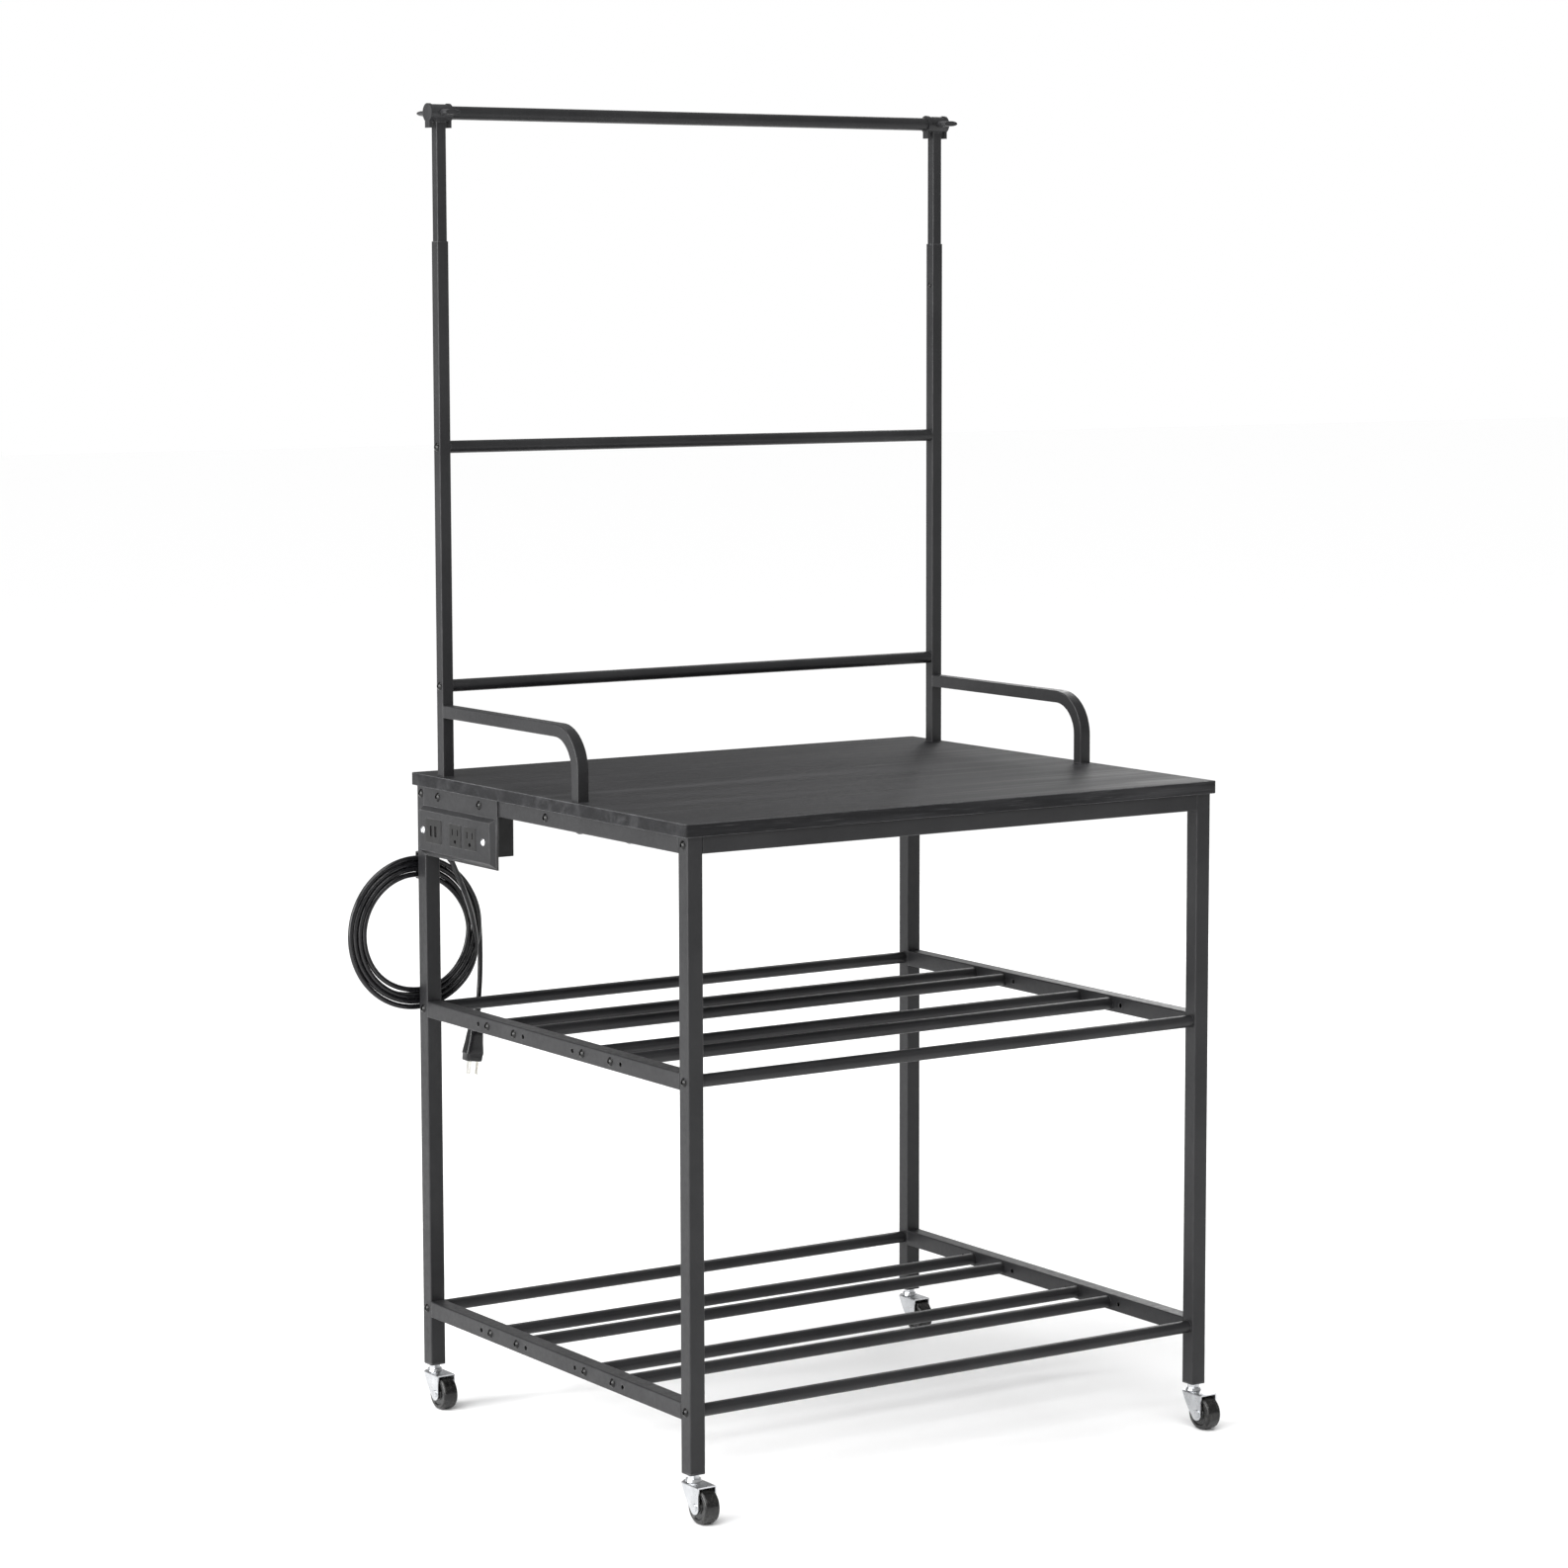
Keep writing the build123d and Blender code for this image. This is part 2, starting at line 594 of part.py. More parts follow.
with BuildPart() as spool_rod:
    with BuildSketch(Plane.YZ.offset(-SPOOL_ROD_HALF_LENGTH)):
        with Locations((MAST_Y, SPOOL_ROD_Z)):
            Circle(SPOOL_ROD_DIAMETER / 2)
            Circle(SPOOL_ROD_DIAMETER / 2 - ROD_WALL, mode=Mode.SUBTRACT)
    extrude(amount=2 * SPOOL_ROD_HALF_LENGTH)
    cut_along_y(CLAMP_BOLT_RADIUS + HOLE_CLEARANCE, rack_cross_bolt, 2 * SPOOL_ROD_DIAMETER)
write(spool_rod.part, "spool_rod")

grip_gap = BRACKET_BARREL_RADIUS + GRIP_GAP
with BuildPart() as clamp_bolts:
    for side in SIDES.values():
        add(oval_grip(side * MAST_X, MAST_Y + grip_gap, 1))
        with BuildSketch(Plane.XZ.offset(-(MAST_Y + grip_gap + CLAMP_BOLT_ROOT))):
            with Locations((side * MAST_X, SPOOL_ROD_Z)):
                Circle(CLAMP_BOLT_RADIUS)
        extrude(amount=2 * grip_gap + CLAMP_BOLT_REACH)
write(clamp_bolts.part, "clamp_bolts")

for side_name, side in SIDES.items():
    with BuildPart() as clamp_knob:
        add(oval_grip(side * MAST_X, MAST_Y - grip_gap, -1))
        cut_along_y(
            CLAMP_BOLT_RADIUS + AXLE_CLEARANCE,
            [(side * MAST_X, MAST_Y - grip_gap, SPOOL_ROD_Z)],
            2 * GRIP_BORE_DEPTH,
        )
    write(clamp_knob.part, f"clamp_knob_{side_name}")

# Low-head screws that lock the inner masts
lock_screw = button_bolt(LOCK_SCREW_RADIUS, LOCK_SCREW_HEAD, LOCK_SCREW_SHANK)
lock_planes = [
    Plane(origin=(side * MAST_INNER_X, MAST_Y, LOCK_SCREW_Z), x_dir=(0, 1, 0), z_dir=(-side, 0, 0))
    for side in SIDES.values()
]
write(copies(lock_screw, lock_planes), "height_lock_screws")

# ---------------------------------------------------------------------------------------------
# Power outlets on the left rail
# ---------------------------------------------------------------------------------------------

raise_plane = Plane(origin=(-OUTER_X, 0, 0), x_dir=(0, 1, 0), z_dir=(-1, 0, 0))


def face_rectangle(y_low, y_high, z_low, z_high):
    """A rectangle on a plane that looks along -X with Y as its x axis, so its own y axis runs down."""
    with Locations(((y_low + y_high) / 2, -(z_low + z_high) / 2)):
        Rectangle(y_high - y_low, z_high - z_low)


def raised_rectangle(inset, bevel):
    """The raised panel's outline, drawn in by a wall on all sides and by a bevel on three of them."""
    drawn_in = inset + bevel
    face_rectangle(
        RAISE_FRONT_Y + drawn_in, PANEL_BACK_Y - inset, RAISE_BOTTOM_Z + drawn_in, RAISE_TOP_Z - drawn_in
    )


def window_rectangles():
    """The outlines that the two outlets and the charging module pass through."""
    with Locations(*[(y, -OUTLET_Z) for y in OUTLET_CENTRES_Y]):
        Rectangle(OUTLET_WIDTH + 2 * HOLE_CLEARANCE, OUTLET_HEIGHT + 2 * HOLE_CLEARANCE)
    with Locations((USB_CENTRE_Y, -OUTLET_Z)):
        Rectangle(USB_WIDTH + 2 * HOLE_CLEARANCE, USB_HEIGHT + 2 * HOLE_CLEARANCE)


with BuildPart() as outlet_bracket:
    with BuildSketch(raise_plane):
        face_rectangle(PANEL_FRONT_Y, PANEL_BACK_Y, PANEL_BOTTOM_Z, FRAME_TOP_Z)
    extrude(amount=PLATE)
    # Raised panel with bevelled edges
    with BuildSketch(raise_plane.offset(PLATE)):
        raised_rectangle(0, 0)
    with BuildSketch(raise_plane.offset(PANEL_RAISE)):
        raised_rectangle(0, RAISE_BEVEL)
    loft()
    # Hollow behind the raised panel
    with BuildSketch(raise_plane):
        raised_rectangle(PLATE, 0)
    with BuildSketch(raise_plane.offset(PANEL_RAISE - PLATE)):
        raised_rectangle(PLATE, RAISE_BEVEL)
    loft(mode=Mode.SUBTRACT)
    # Windows for the outlets and the charging module, and the screw holes
    with BuildSketch(raise_plane.offset(PANEL_RAISE)):
        window_rectangles()
        with Locations(*[(y, -PANEL_SCREW_Z) for y in PANEL_SCREWS_Y]):
            Circle(PANEL_SCREW_RADIUS + HOLE_CLEARANCE)
    extrude(amount=-PANEL_RAISE, mode=Mode.SUBTRACT)
    with BuildSketch(raise_plane.offset(PLATE)):
        with Locations(*[(y, -TOP_RAIL_Z) for y in PANEL_BOLTS_Y]):
            Circle(BOLT_RADIUS + HOLE_CLEARANCE)
    extrude(amount=-2 * PLATE, mode=Mode.SUBTRACT)
write(outlet_bracket.part, "outlet_bracket")

box_front_plane = raise_plane.offset(PANEL_RAISE - PLATE)
with BuildPart() as power_strip_body:
    with BuildSketch(raise_plane.offset(-STRIP_GAP)):
        face_rectangle(STRIP_FRONT_Y, STRIP_BACK_Y, STRIP_BOTTOM_Z, STRIP_TOP_Z)
    extrude(amount=-STRIP_DEPTH)
    fillet(power_strip_body.faces().sort_by(Axis.X)[-1].edges(), STRIP_FILLET)
    # Narrower front that fills the hollow of the panel
    with BuildSketch(box_front_plane):
        face_rectangle(NECK_FRONT_Y, STRIP_BACK_Y, NECK_BOTTOM_Z, NECK_TOP_Z)
    extrude(amount=-PANEL_RAISE)
    # Ears with the fixing screws' threads
    with BuildSketch(box_front_plane):
        for ear_y_low, ear_y_high in (
            (PANEL_SCREWS_Y[0] - EAR_REACH, STRIP_FRONT_Y + EAR_OVERLAP),
            (STRIP_BACK_Y - EAR_OVERLAP, PANEL_SCREWS_Y[1] + EAR_REACH),
        ):
            with Locations(((ear_y_low + ear_y_high) / 2, -PANEL_SCREW_Z)):
                Rectangle(ear_y_high - ear_y_low, 2 * EAR_HALF_HEIGHT)
    extrude(amount=-EAR_THICKNESS)
    with BuildSketch(box_front_plane):
        with Locations(*[(y, -PANEL_SCREW_Z) for y in PANEL_SCREWS_Y]):
            Circle(PANEL_SCREW_RADIUS + THREAD_CLEARANCE)
    extrude(amount=-SCREW_REACH, mode=Mode.SUBTRACT)
    # Pockets for the outlets and the charging module
    with BuildSketch(box_front_plane):
        window_rectangles()
    extrude(amount=-POCKET_DEPTH, mode=Mode.SUBTRACT)
write(power_strip_body.part, "power_strip_body")

outlet_face_plane = raise_plane.offset(PANEL_RAISE + OUTLET_PROUD)
outlet_thickness = PLATE + OUTLET_PROUD + POCKET_DEPTH
with BuildPart() as outlet_sockets:
    for centre_y in OUTLET_CENTRES_Y:
        with BuildSketch(outlet_face_plane):
            with Locations((centre_y, -OUTLET_Z)):
                RectangleRounded(OUTLET_WIDTH, OUTLET_HEIGHT, OUTLET_CORNER)
        extrude(amount=-outlet_thickness)
        # Two blade slots above a round earth hole
        with BuildSketch(outlet_face_plane):
            with Locations((centre_y, -OUTLET_Z - SLOT_RISE)):
                with GridLocations(BLADE_SPACING, 0, 2, 1):
                    Rectangle(SLOT_WIDTH, SLOT_HEIGHT)
            with Locations((centre_y, -OUTLET_Z + EARTH_HOLE_DROP)):
                Circle(EARTH_HOLE_RADIUS)
        extrude(amount=-(outlet_thickness - SOCKET_FLOOR), mode=Mode.SUBTRACT)
write(outlet_sockets.part, "outlet_sockets")

with BuildPart() as usb_module:
    with BuildSketch(outlet_face_plane):
        with Locations((USB_CENTRE_Y, -OUTLET_Z)):
            RectangleRounded(USB_WIDTH, USB_HEIGHT, OUTLET_CORNER)
    extrude(amount=-outlet_thickness)
    for port_y in USB_PORTS_Y:
        with BuildSketch(outlet_face_plane):
            with Locations((port_y, -OUTLET_Z)):
                Rectangle(USB_PORT_WIDTH, USB_PORT_HEIGHT)
        extrude(amount=-(outlet_thickness - SOCKET_FLOOR), mode=Mode.SUBTRACT)
        # Contact tongue in the port
        with BuildSketch(outlet_face_plane.offset(-USB_TONGUE_RECESS)):
            with Locations((port_y + USB_TONGUE_SHIFT, -OUTLET_Z)):
                Rectangle(USB_TONGUE_WIDTH, USB_TONGUE_HEIGHT)
        extrude(amount=-(outlet_thickness - SOCKET_FLOOR))
write(usb_module.part, "usb_module")

panel_screw = button_bolt(PANEL_SCREW_RADIUS, PANEL_SCREW_HEAD, SCREW_REACH)
screw_planes = [side_plane(-1, OUTER_X + PANEL_RAISE, y, PANEL_SCREW_Z) for y in PANEL_SCREWS_Y]
write(copies(panel_screw, screw_planes), "bracket_screws")

# ---------------------------------------------------------------------------------------------
# Power cord: strain relief, lead, hanging coil, tail and plug
# ---------------------------------------------------------------------------------------------

gland_tilt = math.radians(GLAND_TILT)
gland_direction = Vector(math.sin(gland_tilt), 0, -math.cos(gland_tilt))
gland_plane = Plane(origin=Vector(*CORD_EXIT) - gland_direction * GLAND_LENGTH, z_dir=gland_direction)
with BuildPart() as cord_gland:
    with BuildSketch(gland_plane.offset(-GLAND_COLLAR_INSIDE)):
        Circle(GLAND_COLLAR_RADIUS)
    extrude(amount=GLAND_COLLAR_INSIDE + GLAND_COLLAR_OUTSIDE)
    with BuildSketch(gland_plane.offset(GLAND_COLLAR_OUTSIDE)):
        Circle(GLAND_ROOT_RADIUS)
    with BuildSketch(gland_plane.offset(GLAND_LENGTH)):
        Circle(GLAND_TIP_RADIUS)
    loft()
write(cord_gland.part, "cord_gland")


def cord_tube(points):
    """A cord along straight runs joined by arcs as large as the runs allow, with its arc radii."""
    route = [Vector(*point) for point in points]
    runs = [after - before for before, after in zip(route, route[1:])]
    radii = []
    for before, after in zip(runs, runs[1:]):
        half_turn = math.radians(before.get_angle(after)) / 2
        radii.append(0.45 * min(before.length, after.length) / math.tan(half_turn))
    with BuildPart() as tube:
        with BuildLine() as path:
            FilletPolyline(*points, radius=radii)
        with BuildSketch(Plane(origin=points[0], z_dir=runs[0])):
            Circle(CORD_DIAMETER / 2)
        sweep()
    section = math.pi * CORD_DIAMETER**2 / 4
    length = sum(edge.length for edge in path.line.edges())
    print("cord radii", [round(radius) for radius in radii], "length", round(length))
    print("cord volume", round(tube.part.volume), "section x length", round(section * length))
    return tube.part


with BuildPart() as power_cord:
    add(cord_tube(LEAD_ROUTE))
    add(cord_tube(TAIL_ROUTE))
write(power_cord.part, "power_cord")

coil_radius = (COIL_INNER_RADIUS + COIL_OUTER_RADIUS) / 2
coil_axis = Axis(COIL_CENTRE, (0, 1, 0))
with BuildPart() as cord_coil:
    with BuildSketch(Plane(origin=COIL_CENTRE, x_dir=(1, 0, 0), z_dir=(0, 0, 1))):
        with Locations((coil_radius, 0)):
            RectangleRounded(COIL_OUTER_RADIUS - COIL_INNER_RADIUS, COIL_THICKNESS, CORD_DIAMETER / 2)
    revolve(axis=coil_axis)
write(cord_coil.part, "cord_coil")

# Clip on the leg's back face that the top of the coil hangs in
clip_z = COIL_CENTRE[2] + math.sqrt(coil_radius**2 - (CLIP_X - COIL_CENTRE[0]) ** 2)
clip_inner_y = FRAME_DEPTH / 2 + CLIP_SHEET
clip_gap = COIL_OUTER_RADIUS - COIL_INNER_RADIUS + 2 * CLIP_SLACK
with BuildPart() as coil_clip:
    with BuildSketch(Plane.YZ.offset(CLIP_X - CLIP_WIDTH / 2)):
        with Locations((COIL_CENTRE[1], clip_z)):
            Rectangle(2 * (COIL_CENTRE[1] - FRAME_DEPTH / 2), clip_gap + 2 * CLIP_SHEET)
            Rectangle(2 * (COIL_CENTRE[1] - clip_inner_y), clip_gap, mode=Mode.SUBTRACT)
    extrude(amount=CLIP_WIDTH)
    fillet(coil_clip.edges().filter_by(Axis.X).group_by(Axis.Y)[-1], CLIP_FILLET)
write(coil_clip.part, "coil_clip")

# Moulded three-pin plug, blades down
plug_tilt = math.radians(PLUG_TILT)
plug_down = Vector(-math.sin(plug_tilt), 0, -math.cos(plug_tilt))
plug_plane = Plane(origin=PLUG_TOP, x_dir=(-math.cos(plug_tilt), 0, math.sin(plug_tilt)), z_dir=plug_down)
shoulder_plane = plug_plane.offset(PLUG_RELIEF_LENGTH)
widest_plane = shoulder_plane.offset(PLUG_WIDEST * PLUG_BODY_LENGTH)
nose_plane = shoulder_plane.offset(PLUG_BODY_LENGTH)
with BuildPart() as plug:
    with BuildSketch(plug_plane):
        Circle(PLUG_NECK_RADIUS)
    with BuildSketch(shoulder_plane):
        Circle(PLUG_THROAT_RADIUS)
    loft()
    with BuildSketch(shoulder_plane):
        RectangleRounded(*PLUG_SHOULDER, PLUG_CORNER)
    with BuildSketch(widest_plane):
        RectangleRounded(PLUG_WIDTH, PLUG_DEPTH, PLUG_CORNER)
    loft()
    with BuildSketch(widest_plane):
        RectangleRounded(PLUG_WIDTH, PLUG_DEPTH, PLUG_CORNER)
    with BuildSketch(nose_plane):
        RectangleRounded(*PLUG_NOSE, PLUG_CORNER)
    loft()
    with BuildSketch(nose_plane):
        with Locations((0, -BLADE_OFFSET)):
            with GridLocations(BLADE_SPACING, 0, 2, 1):
                Rectangle(BLADE_THICKNESS, BLADE_WIDTH)
        with Locations((0, EARTH_PIN_OFFSET)):
            Circle(EARTH_PIN_RADIUS)
    extrude(amount=PIN_LENGTH)
write(plug.part, "plug")

# ---------------------------------------------------------------------------------------------
# Fasteners of the frame
# ---------------------------------------------------------------------------------------------

frame_bolt = button_bolt(BOLT_RADIUS, BOLT_HEAD, TUBE + 0.8 * ROD_PLUG_DEPTH)
short_bolt = button_bolt(BOLT_RADIUS, BOLT_HEAD, PANEL_BOLT_SHANK)
frame_bolt_planes = []
for side in SIDES.values():
    for shelf_z in SHELVES.values():
        frame_bolt_planes += [side_plane(side, OUTER_X, y, shelf_z) for y in ALL_ROD_Y]
    frame_bolt_planes += [side_plane(side, OUTER_X, y, TOP_RAIL_Z) for y in CROSS_RAIL_Y.values()]
    frame_bolt_planes += [side_plane(side, OUTER_X, MAST_Y, z) for z in CROSSBAR_HEIGHTS]
panel_bolt_planes = [side_plane(-1, OUTER_X + PLATE, y, TOP_RAIL_Z) for y in PANEL_BOLTS_Y]
with BuildPart() as frame_bolts:
    with Locations(*frame_bolt_planes):
        add(frame_bolt)
    with Locations(*panel_bolt_planes):
        add(short_bolt)
write(frame_bolts.part, "frame_bolts")

# Screws from below the side rails, long ones into the posts' feet and short ones into the board
rail_bottom_z = FRAME_TOP_Z - TUBE
post_screw = button_bolt(BOARD_SCREW_RADIUS, BOARD_SCREW_HEAD, TUBE + BOARD_THICKNESS + POST_SCREW_GRIP)
board_screw = button_bolt(BOARD_SCREW_RADIUS, BOARD_SCREW_HEAD, TUBE + BOARD_SCREW_GRIP)
with BuildPart() as tabletop_screws:
    with Locations(*[Plane(origin=(x, y, rail_bottom_z), z_dir=(0, 0, -1)) for x, y in post_screw_places]):
        add(post_screw)
    with Locations(*[Plane(origin=(x, y, rail_bottom_z), z_dir=(0, 0, -1)) for x, y in board_screw_places]):
        add(board_screw)
write(tabletop_screws.part, "tabletop_screws")

# ---------------------------------------------------------------------------------------------
# Casters
# ---------------------------------------------------------------------------------------------

leg_places = [(side * LEG_X, end * LEG_Y) for side in SIDES.values() for end in ENDS.values()]
plug_side = TUBE - 2 * TUBE_WALL - 2 * LEG_PLUG_GAP

with BuildPart() as leg_plugs:
    with BuildSketch(Plane.XY.offset(LEG_BOTTOM_Z)):
        with Locations(*leg_places):
            RectangleRounded(plug_side, plug_side, LEG_PLUG_CORNER)
            Circle(STEM_RADIUS + THREAD_CLEARANCE, mode=Mode.SUBTRACT)
    extrude(amount=LEG_PLUG_HEIGHT)
    with BuildSketch(Plane.XY.offset(LEG_BOTTOM_Z - LEG_CAP)):
        with Locations(*leg_places):
            RectangleRounded(TUBE, TUBE, TUBE_CORNER)
            Circle(STEM_RADIUS + THREAD_CLEARANCE, mode=Mode.SUBTRACT)
    extrude(amount=LEG_CAP)
write(leg_plugs.part, "leg_plugs")

# Stem with its rivet head under the yoke, bearing cup, hexagon nut and thread up into the plug
nut_bottom_z = YOKE_TOP_Z + NUT_RISE
yoke_underside_z = YOKE_TOP_Z - YOKE_SHEET
rivet_top_z = yoke_underside_z - BEARING_GAP
with BuildPart() as caster_stems:
    with BuildSketch(Plane.XY.offset(rivet_top_z)):
        with Locations(*leg_places):
            Circle(RIVET_HEAD_RADIUS)
    extrude(amount=-RIVET_HEAD_HEIGHT)
    with BuildSketch(Plane.XY.offset(rivet_top_z)):
        with Locations(*leg_places):
            Circle(STEM_RADIUS)
    extrude(amount=LEG_BOTTOM_Z + LEG_PLUG_HEIGHT - STEM_END_GAP - rivet_top_z)
    with BuildSketch(Plane.XY.offset(YOKE_TOP_Z + BEARING_GAP)):
        with Locations(*leg_places):
            Circle(BEARING_RADIUS)
    extrude(amount=NUT_RISE - BEARING_GAP, taper=BEARING_TAPER)
    with BuildSketch(Plane.XY.offset(nut_bottom_z)):
        with Locations(*leg_places):
            RegularPolygon(NUT_INRADIUS, 6, major_radius=False)
    extrude(amount=LEG_BOTTOM_Z - LEG_CAP - nut_bottom_z)
write(caster_stems.part, "caster_stems")

for side_name, side in SIDES.items():
    for end_name, end in ENDS.items():
        stem_x = side * LEG_X
        stem_y = end * LEG_Y
        axle_y = stem_y - AXLE_TRAIL
        yoke_inner = YOKE_WIDTH / 2 - YOKE_SHEET
        rear_y = stem_y + CHEEK_REAR[0]
        front = (stem_y + CHEEK_FRONT_Y, YOKE_TOP_Z)
        waist = (stem_y + CHEEK_WAIST[0], CHEEK_WAIST[1])
        toe = (stem_y + CHEEK_TOE[0], CHEEK_TOE[1])
        rear = (rear_y, CHEEK_REAR[1])
        with BuildPart() as yoke:
            # Cheeks that reach down to the axle, with a curved front edge
            with BuildSketch(Plane.YZ.offset(stem_x)):
                with BuildLine():
                    Line((rear_y, YOKE_TOP_Z), front)
                    ThreePointArc(front, waist, toe)
                    ThreePointArc(toe, (axle_y, CHEEK_BOTTOM_Z), rear)
                    Line(rear, (rear_y, YOKE_TOP_Z))
                make_face()
            extrude(amount=YOKE_WIDTH / 2, both=True)
            with Locations((stem_x, axle_y, yoke_underside_z / 2)):
                Box(2 * yoke_inner, 4 * WHEEL_RADIUS, yoke_underside_z, mode=Mode.SUBTRACT)
            # Top plate, rounded in front of the stem
            with BuildSketch(Plane.XY.offset(yoke_underside_z)):
                with Locations((stem_x, stem_y)):
                    Circle(YOKE_WIDTH / 2)
                with Locations((stem_x, (stem_y + rear_y) / 2)):
                    Rectangle(YOKE_WIDTH, stem_y - rear_y)
            extrude(amount=YOKE_SHEET)
            long_edges = yoke.edges().filter_by(Axis.Y)
            fillet(long_edges.group_by(Axis.Z)[-1], YOKE_EDGE_FILLET)
            with Locations((stem_x, stem_y, YOKE_TOP_Z)):
                Cylinder(STEM_RADIUS + STEM_CLEARANCE, 4 * YOKE_SHEET, mode=Mode.SUBTRACT)
            cut_along_x(AXLE_RADIUS, [(stem_x, axle_y, WHEEL_RADIUS)], 2 * YOKE_WIDTH)
        write(yoke.part, f"caster_yoke_{end_name}_{side_name}")

        half = WHEEL_WIDTH / 2
        face_section = [
            (half, AXLE_RADIUS + AXLE_CLEARANCE),
            (half, HUB_RADIUS),
            (half - DISH_DEPTH, DISH_RADII[0]),
            (half - DISH_DEPTH, DISH_RADII[1]),
            (half, RIM_RADIUS),
            (half, WHEEL_RADIUS),
        ]
        right_half = [(stem_x + x, axle_y + radius) for x, radius in face_section]
        left_half = [(stem_x - x, axle_y + radius) for x, radius in face_section]
        with BuildPart() as wheel:
            with BuildSketch(Plane.XY.offset(WHEEL_RADIUS)) as wheel_section:
                with BuildLine():
                    Polyline(*right_half, *reversed(left_half), close=True)
                make_face()
                fillet(wheel_section.vertices().sort_by(Axis.Y)[-2:], TREAD_FILLET)
            revolve(axis=Axis((stem_x, axle_y, WHEEL_RADIUS), (1, 0, 0)))
        write(wheel.part, f"caster_wheel_{end_name}_{side_name}")

        # Axle riveted outside both cheeks
        with BuildPart() as axle:
            with BuildSketch(Plane.YZ.offset(stem_x)):
                with Locations((axle_y, WHEEL_RADIUS)):
                    Circle(AXLE_RADIUS)
            extrude(amount=YOKE_WIDTH / 2 + AXLE_STAND_OFF, both=True)
            for cheek in (-1, 1):
                with BuildSketch(Plane.YZ.offset(stem_x + cheek * YOKE_WIDTH / 2)):
                    with Locations((axle_y, WHEEL_RADIUS)):
                        Circle(AXLE_HEAD_RADIUS)
                extrude(amount=cheek * AXLE_HEAD_HEIGHT, taper=AXLE_HEAD_TAPER)
        write(axle.part, f"caster_axle_{end_name}_{side_name}")
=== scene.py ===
"""Looks for a rolling spool holder stand: materials, the power cord, its plug and boot, light and camera."""

import json
import math

import bmesh
import bpy
from mathutils import Matrix, Vector


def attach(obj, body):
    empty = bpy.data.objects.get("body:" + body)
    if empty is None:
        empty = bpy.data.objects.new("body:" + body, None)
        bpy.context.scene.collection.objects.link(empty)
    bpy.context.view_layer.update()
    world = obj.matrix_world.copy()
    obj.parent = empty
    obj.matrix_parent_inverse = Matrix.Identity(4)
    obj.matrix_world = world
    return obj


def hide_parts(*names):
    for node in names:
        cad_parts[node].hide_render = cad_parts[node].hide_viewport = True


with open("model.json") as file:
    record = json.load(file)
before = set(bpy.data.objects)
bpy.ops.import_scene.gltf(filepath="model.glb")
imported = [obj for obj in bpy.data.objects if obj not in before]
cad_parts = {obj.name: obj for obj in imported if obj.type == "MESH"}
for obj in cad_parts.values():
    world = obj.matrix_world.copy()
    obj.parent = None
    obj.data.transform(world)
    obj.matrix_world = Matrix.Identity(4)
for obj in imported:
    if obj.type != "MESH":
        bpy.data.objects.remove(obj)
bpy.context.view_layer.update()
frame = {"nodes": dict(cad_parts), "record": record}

stand = "stand"

# ---------------------------------------------------------------------------------------------
# Camera
# ---------------------------------------------------------------------------------------------

CAMERA_PLACE = (-2.8575, -4.2600, 1.3715)
CAMERA_YAW = math.radians(33.508)
CAMERA_PITCH = math.radians(6.569)
CAMERA_ROLL = math.radians(-0.129)
CAMERA_LENS = 98.0
CAMERA_SENSOR = 36.0
CAMERA_REACH = 60.0

camera_data = bpy.data.cameras.new("camera")
camera_data.lens = CAMERA_LENS
camera_data.sensor_width = CAMERA_SENSOR
camera_data.clip_end = CAMERA_REACH
camera = bpy.data.objects.new("camera", camera_data)
camera.location = CAMERA_PLACE
turn = Matrix.Rotation(-CAMERA_YAW, 4, "Z") @ Matrix.Rotation(math.pi / 2 - CAMERA_PITCH, 4, "X")
camera.rotation_euler = (turn @ Matrix.Rotation(CAMERA_ROLL, 4, "Z")).to_euler()
bpy.context.collection.objects.link(camera)
bpy.context.scene.camera = camera

# ---------------------------------------------------------------------------------------------
# Node helpers
# ---------------------------------------------------------------------------------------------

# The colour sockets of a Mix node, which has others of the same names for values and vectors
MIX_FIRST, MIX_SECOND, MIX_RESULT = 6, 7, 2

# The rounded normal's dot product with the true one, on a flat face and on a full edge
FLAT_DOT, EDGE_DOT = 0.99, 0.86


